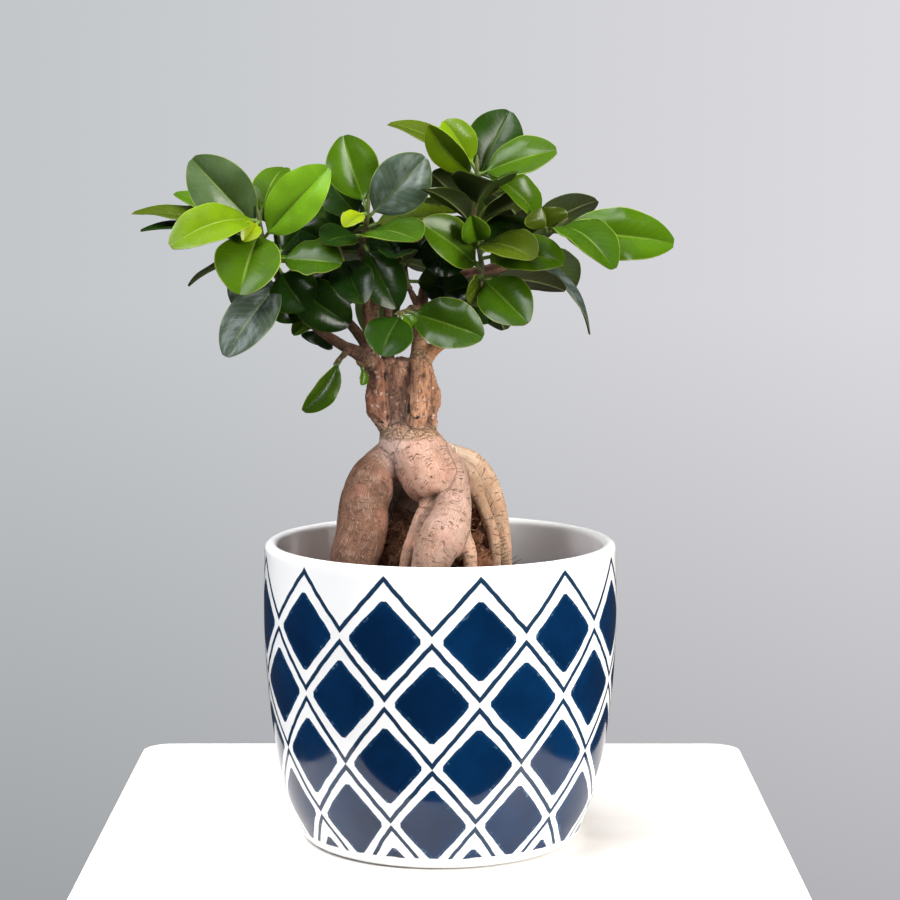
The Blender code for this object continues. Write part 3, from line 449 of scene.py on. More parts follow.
class Shape:
    """Lofted surfaces gathered into one mesh, with a place and a tint at each point."""

    def __init__(self):
        self.spots, self.faces, self.slots, self.places, self.tints = [], [], [], [], []

    def loft(self, rings, places, tint, slot_of=lambda index: 0, closed=True):
        """Quads between rings of points, with a fan-free cap at each end."""
        first, count = len(self.spots), len(rings[0])
        for ring, marks in zip(rings, places):
            self.spots += ring
            self.places += marks
            self.tints += [tint] * count
        for row in range(len(rings) - 1):
            for index in range(count):
                following = (index + 1) % count
                near, far = first + row * count, first + (row + 1) * count
                self.faces.append((near + index, near + following, far + following, far + index))
                self.slots.append(slot_of(index))
        if closed:
            last = first + (len(rings) - 1) * count
            self.faces.append(tuple(range(first + count - 1, first - 1, -1)))
            self.faces.append(tuple(range(last, last + count)))
            self.slots += [slot_of(0)] * 2

    def tube(self, path, radii, sides, tint, slot=0, pick=0.0):
        """A round limb along a path; its points keep their run, share of a turn and random number."""
        rings, places = [], []
        run = 0.0
        for index, ((_, side, other), place, radius) in enumerate(zip(transport(path), path, radii)):
            if index:
                run += (place - path[index - 1]).length
            rings.append([place + (side * x + other * y) * radius for x, y in circle(sides)])
            places.append([(run / MM, k / sides, pick) for k in range(sides)])
        self.loft(rings, places, tint, lambda index: slot)

    def built(self, name, coats, sharp=60):
        """The piece with its materials, shaded smooth but for edges sharper than this angle."""
        mesh = bpy.data.meshes.new(name)
        mesh.from_pydata([tuple(spot) for spot in self.spots], [], self.faces)
        for coat in coats:
            mesh.materials.append(coat)
        mesh.polygons.foreach_set("material_index", self.slots)
        add_attribute(mesh, "place", "FLOAT_VECTOR", "vector", self.places)
        add_attribute(mesh, "tint", "FLOAT_COLOR", "color", [(*tint, 1) for tint in self.tints])
        mesh.shade_smooth()
        mesh.set_sharp_from_angle(angle=math.radians(sharp))
        return add_piece(name, mesh)


def add_piece(name, data):
    """A new object in the scene with this mesh, lamp or camera."""
    obj = bpy.data.objects.new(name, data)
    bpy.context.scene.collection.objects.link(obj)
    return obj


def evaluated_mesh(obj):
    """A plain mesh of the object with its modifiers applied; the object itself is removed."""
    graph = bpy.context.evaluated_depsgraph_get()
    mesh = bpy.data.meshes.new_from_object(obj.evaluated_get(graph))
    bpy.data.objects.remove(obj, do_unlink=True)
    return mesh


def part_of(obj, node):
    """Puts a finished piece in the frame in the place of a node, or beside the others without one."""
    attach(obj, "root")
    if node:
        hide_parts(node)
    return obj


def half_width(t):
    """Half the blade's width at this share of its length, as a share of its full width."""
    return 0.52 * (t / WIDEST) ** 0.75 * ((1 - t) / (1 - WIDEST)) ** 0.7


def leaf_middle(base, tip, facing, arch):
    """Length, petiole's share, and functions for the midrib's place and frame at a share of the chord."""
    chord = tip - base
    length = chord.length
    along = chord.normalized()
    normal = (facing - facing.dot(along) * along).normalized()
    petiole = min(PETIOLE_LENGTH, 0.25 * length) / length

    def middle(t):
        return base + chord * t + normal * (arch * length * 4 * t * (1 - t))

    def frame_at(t):
        ahead = (middle(t + 0.01) - middle(t - 0.01)).normalized()
        up = (normal - normal.dot(ahead) * ahead).normalized()
        return ahead.cross(up), up

    return length, petiole, middle, frame_at


def solid_tip(base, tip, facing, arch):
    """The middle of the upper face's last row in the solid leaf."""
    _, petiole, middle, frame_at = leaf_middle(base, tip, facing, arch)
    t = petiole + CAD_LAST_ROW * (1 - petiole)
    return middle(t) + frame_at(t)[1] * CAD_HALF_BLADE


def add_leaf(shape, base, tip, width, facing, arch, fold, tint, draw):
    """A thin blade with a grooved midrib, swelling halves and a waved edge, on its petiole."""
    length, petiole, middle, frame_at = leaf_middle(base, tip, facing, arch)
    wave = draw.uniform(0.02, 0.07)
    waves = draw.uniform(1.6, 3.2)
    phases = (draw.uniform(0, 6.3), draw.uniform(0, 6.3))
    swell = draw.uniform(0.04, 0.12)
    curl = draw.uniform(-0.06, 0.10)
    bend = draw.uniform(-0.035, 0.035)
    pick = draw.random()
    across = [-s for s in reversed(BLADE_ACROSS[1:])] + list(BLADE_ACROSS)
    rings, places = [], []
    for share in PETIOLE_SHARES + BLADE_SHARES:
        t = petiole * (1 + share) if share < 0 else petiole + share * (1 - petiole)
        centre = middle(t)
        side, up = frame_at(t)
        grown = min(1, max(0, share) / 0.10)
        half = PETIOLE_RADIUS
        if share > 0:
            half = max(width * half_width(share), PETIOLE_RADIUS * (1 - share))
        hump = math.sin(math.pi * max(share, 0)) ** 0.8 if share > 0 else 0
        drift = side * (bend * width * hump)
        ring, marks = [], []
        for face in (1, -1):
            for s in across if face == 1 else reversed(across):
                edge = abs(s)
                flat = half * math.sin(fold) * edge
                flat += half * swell * math.sin(math.pi * edge) * hump
                flat -= half * curl * edge**4 * hump
                flat += half * wave * math.sin(waves * 2 * math.pi * share + phases[s > 0]) * edge**2 * hump
                groove = math.exp(-((s / 0.06) ** 2)) * (1 - 0.7 * max(share, 0))
                if face == 1:
                    flat += BLADE_THIN / 2 - MIDRIB_DEPTH * groove
                else:
                    flat -= BLADE_THIN / 2 * (1 - 0.3 * edge) + MIDRIB_RIDGE * groove
                round_up = face * PETIOLE_RADIUS * math.sqrt(max(0, 1 - s * s)) + face * 0.00005
                spot = centre + drift + side * (s * half * (1 - grown + grown * math.cos(fold)))
                ring.append(spot + up * (flat * grown + round_up * (1 - grown)))
                marks.append((share, s, pick))
        rings.append(ring)
        places.append(marks)
    count = len(across)
    shape.loft(rings, places, tint, lambda index: 1 if count - 1 < index < 2 * count - 1 else 0)


def branch_end(name):
    """Where a branch ends, and the way that it points there."""
    places, _ = limb_path(BRANCHES[name], 1)
    return places[-1], (places[-1] - places[-2]).normalized()


def twig_path(name, points):
    """Places and radii of a leafy stem: from just past its branch's end, to the tip of its bud."""
    end, way = branch_end(name)
    start = end + way * GAP
    path = [start, start + way * 2 * MM] + points
    radii = list(np.linspace(TWIG_RADIUS, TWIG_TIP_RADIUS, len(path)))
    bud = (path[-1] - path[-2]).normalized()
    path += [path[-1] + bud * 0.35 * BUD_LENGTH, path[-1] + bud * BUD_LENGTH]
    return path, radii + [radii[-1], BUD_TIP_RADIUS]


def place_along(path, share):
    """The point at this share of the twig's length, bud left out."""
    stem = path[:-2]
    steps = [(b - a).length for a, b in zip(stem, stem[1:])]
    left = share * sum(steps)
    for start, end, step in zip(stem, stem[1:], steps):
        if left <= step:
            return start.lerp(end, left / step)
        left -= step
    return stem[-1]


def front_leaves(path, leaves):
    """Base, tip, width, facing, arch, fold, way to slide the tip and tone for leaves listed one by one."""
    for along, across, up, behind, width, lift, yaw, arch, fold, tone in leaves:
        base, tip = place_along(path, along), seen(across, up, behind)
        lift, yaw = math.radians(lift), math.radians(yaw)
        facing = Vector((math.cos(lift) * math.sin(yaw), -math.cos(lift) * math.cos(yaw), math.sin(lift)))
        yield base, tip, width * MM, facing, arch, math.radians(fold), (tip - EYE).normalized(), tone


def back_leaves(path, count, low, high, bearing, draw):
    """Leaves in a spiral up the twig, the low ones flat and the top ones steep."""
    axis = (path[-3] - path[1]).normalized()
    right = Vector((1, 0, 0))
    side = (right - right.dot(axis) * axis).normalized()
    for index in range(count):
        share = (index + 1) / count
        steep = math.radians(low + (high - low) * share) + draw.uniform(-0.12, 0.12)
        outward = Matrix.Rotation(math.radians(bearing) + index * GOLDEN_ANGLE, 3, axis) @ side
        way = outward * math.cos(steep) + axis * math.sin(steep)
        base = place_along(path, 0.2 + 0.78 * share)
        length = BACK_LEAF_LENGTH * (1.08 - 0.22 * share) * draw.uniform(0.92, 1.05)
        width = BACK_LEAF_WIDTH * draw.uniform(0.9, 1.08) * (1.05 - 0.15 * share)
        facing = axis * math.cos(steep) - outward * math.sin(steep)
        fold = math.radians(draw.uniform(9, 17))
        tone = BACK_TONES[index % len(BACK_TONES)]
        yield base, base + way * length, width, facing, draw.uniform(0.05, 0.10), fold, facing, tone


def slides(most):
    """0, then steps either way that grow."""
    yield 0
    for index in range(1, most + 1):
        yield SLIDE_STEP * index
        yield -SLIDE_STEP * index


def corners_of(node):
    """A finder of a solid's nearest corner."""
    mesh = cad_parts[node].data
    tree = KDTree(len(mesh.vertices))
    for vertex in mesh.vertices:
        tree.insert(vertex.co, vertex.index)
    tree.balance()
    return tree


def make_shoots(coats):
    """Every leafy stem. Each leaf stands where the solid leaf's last row is found, or is left out with it."""
    draw = random.Random(SEED)
    look = random.Random(SEED + 1)
    paths = {}
    for name, (points, _) in FRONT_SHOOTS.items():
        paths[name] = twig_path(name, [seen(*row) for row in points])
    for name, (way, length, *_) in BACK_SHOOTS.items():
        end, _ = branch_end(name)
        way = Vector(way).normalized()
        paths[name] = twig_path(name, [end + way * length * MM * share for share in (0.45, 0.75, 1)])
    for name, (path, radii) in paths.items():
        if name in FRONT_SHOOTS:
            leaves, most = front_leaves(path, FRONT_SHOOTS[name][1]), FRONT_SLIDES
        else:
            leaves, most = back_leaves(path, *BACK_SHOOTS[name][2:], draw), BACK_SLIDES
        corners = corners_of("shoot_" + name)
        shape = Shape()
        shape.tube(path, radii, TWIG_SIDES, TWIG_TONE, slot=2, pick=look.random())
        for base, tip, width, facing, arch, fold, slide, tone in leaves:
            for shift in slides(most):
                moved = tip + slide * shift
                if corners.find(solid_tip(base, moved, facing, arch))[2] < FOUND_WITHIN:
                    add_leaf(shape, base, moved, width, facing, arch, fold, LEAF_TONES[tone], look)
                    break
        part_of(shape.built("leaves_" + name, coats), "shoot_" + name)


# Fine skin of the trunk
SKIN_VOXEL = 0.00085
SKIN_ROUNDS = 12
LIMB_TONES = {
    "neck": (0.84, 0.60, 0.53),
    "left_graft": (0.25, 0.095, 0.052),
    "right_graft": (0.60, 0.32, 0.19),
    "right_flap": (0.26, 0.13, 0.07),
    "back_graft": (0.20, 0.115, 0.07),
    "knob": (0.26, 0.12, 0.065),
    # The left root's dark tone is painted shade, as the light falls from the right
    "left_root": (0.120, 0.048, 0.022),
    "belly": (0.49, 0.28, 0.205),
    "front_root": (0.385, 0.25, 0.20),
    "front_slender_root": (0.38, 0.22, 0.15),
    "right_slender_root": (0.46, 0.30, 0.195),
    "right_root": (0.56, 0.385, 0.26),
}
ROOT_TONE = (0.44, 0.27, 0.17)
BRANCH_TONES = {
    "right_top": (0.34, 0.20, 0.11),
    "right_mid": (0.42, 0.19, 0.075),
    "centre": (0.20, 0.085, 0.045),
}
BRANCH_TONE = (0.14, 0.065, 0.035)
STUMP_TONE = (0.42, 0.20, 0.12)
# Near-black tone of painted shade on the back roots' front faces
BACK_SHADE_TONE = (0.035, 0.018, 0.011)
# Painted light: how much paler the roots are painted towards the neck, where the light falls on them from
# above
NECK_PAINTED_LIGHT = (0.45, 0.66, 0.88)
STUMP_FOOT = 0.1642
STUMP_FADE = 0.006
NECK_FOOT = 0.147
NECK_FADE = 0.012
# Painted shade: the roots darken towards the soil, and the front faces of the roots behind, seen through the
# hollows, take a near-black tone
SOIL_SHADE_TOP = 0.127
SOIL_SHADE_FADE = 0.022
SOIL_SHADE_SHARE = 0.35
BACK_SHADE_TOP = 0.147
BACK_SHADE_FADE = 0.01
SAMPLE_EVERY = 0.0012
# Rounds of evening out along the skin
MARK_ROUNDS = 14
TONE_ROUNDS = 120
# The skin's hollows are painted darker as shade, and its ridges a little lighter as highlight, found over
# these rounds and to this depth
CREVICE_ROUNDS = 40
CREVICE_SHADE_DEPTH = 0.0007
# Skin drawn over the two forks below the neck: across, up, behind, radius
WEBS = [
    [(-17, 161, -4, 6.5), (-18, 157, -5.5, 6.2), (-18, 153, -7, 6.3), (-18, 149.5, -8, 5.3)],
    [
        (-4.6, 157.5, -5.4, 6.6), (-0.2, 151.5, -9, 7.4), (3.2, 146.8, -11.3, 7.4),
        (4.6, 142.6, -13, 7), (5, 138, -15, 6.9),
    ],
]

# Cracks wander by this much, this finely
SHAKE = 0.0009
SHAKE_SCALE = 260

# Dark cracks in the stump, and dark lines of painted shade under the grafts' edges: points across, up and
# behind, then half width and depth
CRACKS_AND_SHADE_LINES = [
    ([(-6.8, 187, -7), (-6.6, 181.5, -9), (-4.9, 177.5, -9.5), (-4.6, 173.5, -9.5), (-6.8, 171, -10)],
     0.55, 1.4),
    ([(-12.6, 170.2, -12), (-10.5, 168.4, -13), (-8.0, 168.9, -13)], 0.32, 0.45),
    ([(-13.9, 190, -8), (-13.2, 181, -9), (-13.0, 175, -10), (-13.2, 170.5, -11)], 0.5, 1.2),
    ([(-21.2, 188, -6), (-21.0, 180, -8), (-21.4, 173, -9), (-20.4, 167.5, -9)], 0.4, 0.9),
    ([(-27.5, 169.5, -6), (-25.0, 167.3, -8.5), (-22.0, 166.6, -9.5)], 0.28, 0.4),
]
# How much of the stump's tone each limb takes
STUMP_SHARES = {"left_graft": 0.1, "right_graft": 0.05, "right_flap": 0.35}
STUMP_SHARE = 0.8


def limb_samples():
    """Closely spaced places on every limb's axis, a row of numbers for each.

    Columns: place 0 to 2, radius 3, along 4 to 6, side 7 to 9, other side 10 to 12, run 13,
    tone 14 to 16, woody 17, back 18, share of the stump's tone 19.
    """
    rows = []
    for order, (name, points) in enumerate({**BODY_LIMBS, **BRANCHES}.items()):
        woody = name in BRANCHES
        back = not woody and name.startswith("back")
        stumpy = STUMP_SHARES.get(name, STUMP_SHARE)
        tone = BRANCH_TONES.get(name, BRANCH_TONE) if woody else LIMB_TONES.get(name, ROOT_TONE)
        places, radii = limb_path(points, 8)
        run = order * 0.1
        kept = -1.0
        for index, (place, radius, turned) in enumerate(zip(places, radii, transport(places))):
            if index:
                run += (place - places[index - 1]).length
            if run - kept >= SAMPLE_EVERY or index == len(places) - 1:
                kept = run
                along, side, other = turned
                rows.append((*place, radius, *along, *side, *other, run, *tone, woody, back, stumpy))
    return np.array(rows)


def nearest_samples(spots, samples):
    """For each spot, the sample whose surface it is nearest to."""
    found = np.empty(len(spots), int)
    centres, radii = samples[:, :3], samples[:, 3]
    for start in range(0, len(spots), 8000):
        some = spots[start : start + 8000]
        apart = (some**2).sum(1)[:, None] - 2 * some @ centres.T + (centres**2).sum(1)[None]
        found[start : start + 8000] = (np.sqrt(np.maximum(apart, 0)) - radii[None]).argmin(1)
    return found


def distance_to_line(spots, line):
    """How far each spot is from a line through these points."""
    least = np.full(len(spots), 1.0)
    for start, end in zip(line, line[1:]):
        way = end - start
        share = np.clip((spots - start) @ way / (way @ way), 0, 1)
        least = np.minimum(least, np.linalg.norm(spots - start - share[:, None] * way, axis=1))
    return least


def flowing(edges, values, rounds):
    """Values at the points evened out along the edges."""
    count = np.bincount(edges.ravel(), minlength=len(values)).astype(float)
    for _ in range(rounds):
        total = np.zeros_like(values)
        for axis in range(values.shape[1]):
            total[:, axis] = np.bincount(edges[:, 0], values[edges[:, 1], axis], len(values))
            total[:, axis] += np.bincount(edges[:, 1], values[edges[:, 0], axis], len(values))
        values = 0.5 * values + 0.5 * total / count[:, None]
    return values


def skin_mesh():
    """Roots, stump, grafts and branches melted into one fine skin."""
    shape = Shape()
    for points in [*BODY_LIMBS.values(), *WEBS]:
        shape.tube(*limb_path(points, 4), 20, (0, 0, 0))
    for points in BRANCHES.values():
        places, radii = limb_path(points, 4)
        shape.tube(places, [radius + 0.00012 for radius in radii], 12, (0, 0, 0))
    skin = shape.built("skin", [])
    melt = skin.modifiers.new("melt", "REMESH")
    melt.mode = "VOXEL"
    melt.voxel_size = SKIN_VOXEL
    ease = skin.modifiers.new("ease", "SMOOTH")
    ease.factor = 0.5
    ease.iterations = SKIN_ROUNDS
    return evaluated_mesh(skin)


def bark_relief(grain, rough, woody):
    """How far the bark stands out at a point, in metres, from its place along and round the limb."""
    x, y, run = grain
    lump = noise.noise((x / 9, y / 9, run / 20))
    streak = noise.noise((x / 1.5, y / 1.5, run / 11))
    fine = noise.noise((x / 0.8, y / 0.8, run / 4))
    wrinkle = max(0, noise.noise((x / 6 + 40, y / 6, run / 1.1)) - 0.28)
    smooth_root = 0.35 * lump + 0.13 * streak + 0.06 * fine - 0.55 * wrinkle
    knot = noise.noise((x / 3.2, y / 3.2, run / 4.5))
    scale = abs(noise.noise((x / 1.7, y / 1.7, run / 3.6)))
    stump = 0.75 * knot - 0.6 * scale + 0.3 * noise.noise((x / 0.9, y / 0.9, run / 0.9))
    ring = max(0, noise.noise((x / 9, y / 9, run / 0.9 + 7)) - 0.15)
    twig = 0.10 * knot - 0.16 * ring + 0.05 * fine
    root = smooth_root * (1 - rough) + stump * rough
    return (root * (1 - woody) + twig * woody) * MM


def read_points(rows, key, width, kind=float):
    """A property of all vertices or edges as an array."""
    values = np.empty(len(rows) * width, kind)
    rows.foreach_get(key, values)
    return values.reshape(-1, width)


def skin_tones(spots, normals, near, rough, woody):
    """The tones of the limbs, then the stump's over them, painted shade near the soil, painted light towards
    the neck and painted shade on the back roots' front faces.
    """
    share = near[:, 19:20] * rough
    tones = near[:, 14:17] * (1 - share) + np.array(STUMP_TONE) * share
    # Painted shade: the roots are painted darker towards the soil
    soil_shade = np.clip((SOIL_SHADE_TOP - spots[:, 2:3]) / SOIL_SHADE_FADE, 0, 1) * (1 - woody)
    tones = tones * (1 - SOIL_SHADE_SHARE * soil_shade)
    # Painted light: the roots are painted paler towards the neck
    neck = np.clip((spots[:, 2:3] - NECK_FOOT) / NECK_FADE, 0, 1) * (1 - rough) * (1 - woody)
    tones = tones * (1 + np.array(NECK_PAINTED_LIGHT) * neck)
    # Painted shade: the back roots' front faces, in the hollows between the roots, are painted near black
    back_shade = near[:, 18:19] * np.clip(0.6 - 2 * normals[:, 1:2], 0, 1)
    back_shade = back_shade * np.clip((BACK_SHADE_TOP - spots[:, 2:3]) / BACK_SHADE_FADE, 0, 1)
    return tones * (1 - back_shade) + np.array(BACK_SHADE_TONE) * back_shade


def cracks_and_shade_lines_in(spots, normals):
    """How dark each point is from the cracks and the painted shade lines, and how deep it is carved."""
    # The noise vector starts from a random offset in each run unless it is seeded
    noise.seed_set(SEED)
    shake = np.array([noise.noise_vector(tuple(spot * SHAKE_SCALE)) for spot in spots]) * SHAKE
    uneven = np.clip(0.9 + 1.1 * shake[:, 0] / SHAKE, 0.3, 1)
    crack_and_shade_share = np.zeros(len(spots))
    carved = np.zeros(len(spots))
    for line, half, depth in CRACKS_AND_SHADE_LINES:
        points = np.array([seen(*point) for point in line])
        apart = distance_to_line((spots + shake) * (1, 0.35, 1), points * (1, 0.35, 1)) / MM
        share = np.clip(1 - apart / (2 * half), 0, 1) ** 1.5 * (normals[:, 1] < 0.2) * uneven
        crack_and_shade_share = np.maximum(crack_and_shade_share, share)
        carved = np.maximum(carved, share * depth * MM)
    return crack_and_shade_share, carved


def make_trunk(coat):
    """The skin with bark's relief, and what the bark material reads: grain, tint and marks."""
    mesh = skin_mesh()
    spots = read_points(mesh.vertices, "co", 3)
    normals = read_points(mesh.vertices, "normal", 3)
    edges = read_points(mesh.edges, "vertices", 2, int)
    samples = limb_samples()
    near = samples[nearest_samples(spots, samples)]
    out = spots - near[:, :3]
    run = near[:, 13] + (out * near[:, 4:7]).sum(1)
    around = np.stack([(out * near[:, 7:10]).sum(1), (out * near[:, 10:13]).sum(1)], 1)
    spread = np.linalg.norm(around, axis=1, keepdims=True)
    around = around / np.maximum(spread, 1e-6) * near[:, 3:4]
    grain = np.column_stack([around, run]) / MM
    woody = near[:, 17:18]
    rough = np.clip((spots[:, 2:3] - STUMP_FOOT) / STUMP_FADE + 0.5, 0, 1) * (1 - woody)
    tones = skin_tones(spots, normals, near, rough, woody)
    hollow = ((flowing(edges, spots, CREVICE_ROUNDS) - spots) * normals).sum(1)
    soft = flowing(edges, np.hstack([tones, rough, woody, hollow[:, None]]), MARK_ROUNDS)
    soft[:, :3] = flowing(edges, soft[:, :3], TONE_ROUNDS)
    crack_and_shade_share, carved = cracks_and_shade_lines_in(spots, normals)
    relief = [bark_relief(tuple(row), *marks) for row, marks in zip(grain, soft[:, 3:5])]
    spots = spots + normals * (np.array(relief) - carved)[:, None]
    mesh.vertices.foreach_set("co", spots.ravel())
    # Painted shade in the skin's hollows, stronger on the stump, and painted highlight on its ridges
    crevice_shade = np.clip(soft[:, 5:6] / CREVICE_SHADE_DEPTH, -0.35, 1)
    tints = soft[:, :3] * (1 - (0.42 + 0.34 * soft[:, 3:4]) * crevice_shade)
    add_attribute(mesh, "grain", "FLOAT_VECTOR", "vector", grain)
    add_attribute(mesh, "tint", "FLOAT_COLOR", "color", np.column_stack([tints, np.ones(len(spots))]))
    add_attribute(mesh, "marks", "FLOAT_VECTOR", "vector", np.column_stack([soft[:, 3:5], crack_and_shade_share]))
    mesh.materials.clear()
    mesh.materials.append(coat)
    mesh.shade_smooth()
    mesh.name = "trunk_bark"
    part_of(add_piece("trunk_bark", mesh), "trunk")


# Soil
SOIL_RINGS = 64
SOIL_SIDES = 190
SOIL_GAP = 0.3
CHIPS = 420
THREADS = 230
CLUMP_ROWS = 13
CLUMP_SIDES = 26
CLUMP_THREADS = 110
CHIP_TONES = [
    (0.05, 0.026, 0.014), (0.10, 0.05, 0.026), (0.17, 0.09, 0.045),
    (0.028, 0.016, 0.01), (0.07, 0.033, 0.018),
]
THREAD_TONES = [(0.20, 0.10, 0.05), (0.12, 0.055, 0.028), (0.34, 0.20, 0.11)]
CLUMP_TONE = (0.20, 0.085, 0.046)
HAIR_TONES = [(0.40, 0.17, 0.08), (0.26, 0.105, 0.05), (0.55, 0.34, 0.20), (0.16, 0.065, 0.03)]
# Root hair and peat heaped between the roots: across, up, behind, radius
CLUMPS = [
    (-17, 112, -10, 10),
    (-16, 121, -7, 8),
    (-13, 126.5, -3, 6),
    (15, 111, -11, 8.5),
    (15.5, 120, -6, 6.5),
    (14.5, 128, -3, 5.5),
    (-32, 104, 4, 9),
]


def soil_height(x, y):
    """Mounded surface in mm, low at the nursery pot's wall and high round the roots."""
    edge = GROW_TOP_RADIUS - GROW_WALL
    share = min(1, math.hypot(x, y) / edge)
    mound = SOIL_EDGE_HEIGHT + (SOIL_CROWN_HEIGHT - SOIL_EDGE_HEIGHT) * (1 - share**MOUND_POWER)
    rough = 1.3 * noise.noise((x / 14, y / 14, 3)) + 1.0 * noise.noise((x / 4.5, y / 4.5, 7))
    rough += 0.6 * noise.noise((x / 1.8, y / 1.8, 1))
    return mound + rough * (1 - share**6)


def turned(name, outline, sides, coat, sharp=60):
    """A piece turned about Z from (radius, height) points in mm; a height of None is the soil's."""
    rings = []
    for radius, height in outline:
        spots = [(radius * x, radius * y) for x, y in circle(sides)]
        rings.append([Vector((x, y, soil_height(x, y) if height is None else height)) * MM for x, y in spots])
    shape = Shape()
    shape.loft(rings, [[(0, 0, 0)] * sides] * len(rings), (1, 1, 1))
    return shape.built(name, [coat], sharp)


def make_soil(coat):
    top = GROW_TOP_RADIUS - GROW_WALL - SOIL_GAP
    outline = [(GROW_FOOT_RADIUS - GROW_WALL - SOIL_GAP, GROW_FLOOR + GROW_WALL + SOIL_GAP)]
    outline += [(top * (1 - step / SOIL_RINGS), None) for step in range(SOIL_RINGS)]
    part_of(turned("soil_bed", outline, SOIL_SIDES, coat), "soil")


def add_chip(shape, place, size, tint, draw):
    """A small crumb or sliver of bark with uneven corners."""
    stretch = Vector((draw.uniform(0.6, 1.8), draw.uniform(0.5, 1.1), draw.uniform(0.3, 0.8))) * size
    turn = Matrix.Rotation(draw.uniform(0, 6.3), 3, "Z") @ Matrix.Rotation(draw.uniform(-0.6, 0.6), 3, "X")
    rings = []
    for height, wide in ((-1, 0.6), (-0.3, 1.0), (0.4, 0.9), (1, 0.5)):
        ring = []
        for k in range(6):
            angle = math.pi * k / 3 + draw.uniform(-0.25, 0.25)
            reach = wide * draw.uniform(0.75, 1.1)
            across, deep = stretch.x * reach * math.cos(angle), stretch.y * reach * math.sin(angle)
            ring.append(place + turn @ Vector((across, deep, stretch.z * height)))
        rings.append(ring)
    shape.loft(rings, [[(0, 0, draw.random())] * 6] * 4, tint)


def add_thread(shape, place, length, thick, tint, draw, lift):
    """A thin bent root hair."""
    heading = draw.uniform(0, 6.3)
    path = [place]
    rise = draw.uniform(-0.1, lift)
    for _ in range(6):
        heading += draw.uniform(-0.7, 0.7)
        rise += draw.uniform(-0.35, 0.35)
        way = Vector((math.cos(heading), math.sin(heading), rise)).normalized()
        path.append(path[-1] + way * (length / 6))
    radii = [thick * (1 - 0.1 * k) for k in range(7)]
    shape.tube(path, radii, 5, tint, pick=draw.random())


def strewn(draw, edge, above):
    """A random spot on the soil."""
    radius, angle = edge * math.sqrt(draw.random()), draw.uniform(0, 6.3)
    x, y = radius * math.cos(angle), radius * math.sin(angle)
    return Vector((x, y, soil_height(x, y) + above)) * MM


def add_clump(shape, middle, radius, draw):
    """A lumpy ball of peat with root hairs round it."""
    rings = []
    for row in range(CLUMP_ROWS):
        polar = math.pi * (row + 0.5) / CLUMP_ROWS
        ring = []
        for x, y in circle(CLUMP_SIDES):
            way = Vector((math.sin(polar) * x, math.sin(polar) * y, -math.cos(polar)))
            lump = 0.35 * noise.noise(way * 2.2 + middle * 90)
            crumb = 0.25 * noise.noise(way * 6 + middle * 300)
            ring.append(middle + way * (radius * MM * (0.8 + lump + crumb)))
        rings.append(ring)
    shape.loft(rings, [[(0, 0, 0)] * CLUMP_SIDES] * CLUMP_ROWS, CLUMP_TONE)
    for _ in range(CLUMP_THREADS):
        way = Vector((draw.gauss(0, 1), draw.gauss(0, 1), draw.gauss(0, 1))).normalized()
        place = middle + way * radius * MM * draw.uniform(0.6, 0.9)
        tint = draw.choice(HAIR_TONES)
        add_thread(shape, place, draw.uniform(4, 10) * MM, draw.uniform(0.13, 0.28) * MM, tint, draw, 0.8)


def make_bits(coat):
    """Bark chips and root hairs strewn over the soil, and clumps of them between the roots."""
    draw = random.Random(SEED + 2)
    shape = Shape()
    edge = GROW_TOP_RADIUS - GROW_WALL - 4
    for _ in range(CHIPS):
        place = strewn(draw, edge, 0.2)
        add_chip(shape, place, draw.uniform(0.5, 1.7) * MM, draw.choice(CHIP_TONES), draw)
    for _ in range(THREADS):
        place = strewn(draw, edge - 4, 0.3)
        tint = draw.choice(THREAD_TONES)
        add_thread(shape, place, draw.uniform(4, 11) * MM, draw.uniform(0.10, 0.22) * MM, tint, draw, 0.3)
    for across, up, behind, radius in CLUMPS:
        add_clump(shape, seen(across, up, behind), radius, draw)
    part_of(shape.built("soil_bits", [coat], 80), None)


def arc(centre, radius, start, end, steps):
    """Points on an arc in the (radius, height) plane, angles in degrees."""
    angles = np.radians(np.linspace(start, end, steps + 1))
    return [(centre[0] + radius * math.cos(a), centre[1] + radius * math.sin(a)) for a in angles]


def make_pot(coat):
    wall = [tuple(row) for row in smooth_path(POT_OUTLINE, 8)]
    lip = POT_WALL / 2
    top = (wall[-1][0] - lip, POT_HEIGHT - lip)
    inside = [(radius - POT_WALL, height) for radius, height in wall if height > 2 * POT_FLOOR]
    outline = [(AXIS_HOLE, 0), (POT_FOOT_RADIUS * 0.5, 0), (POT_FOOT_RADIUS, 0)]
    outline += arc((POT_FOOT_RADIUS, POT_CORNER), POT_CORNER, -80, -20, 8)
    outline += wall[3:]
    outline += arc(top, lip, 0, 180, 12)
    outline += inside[::-1]
    outline += arc((inside[0][0] - POT_CORNER, POT_FLOOR + POT_CORNER), POT_CORNER, -10, -90, 8)
    outline += [(POT_FOOT_RADIUS * 0.5, POT_FLOOR), (AXIS_HOLE, POT_FLOOR)]
    part_of(turned("glazed_pot", outline, POT_SIDES, coat, 50), "pot")


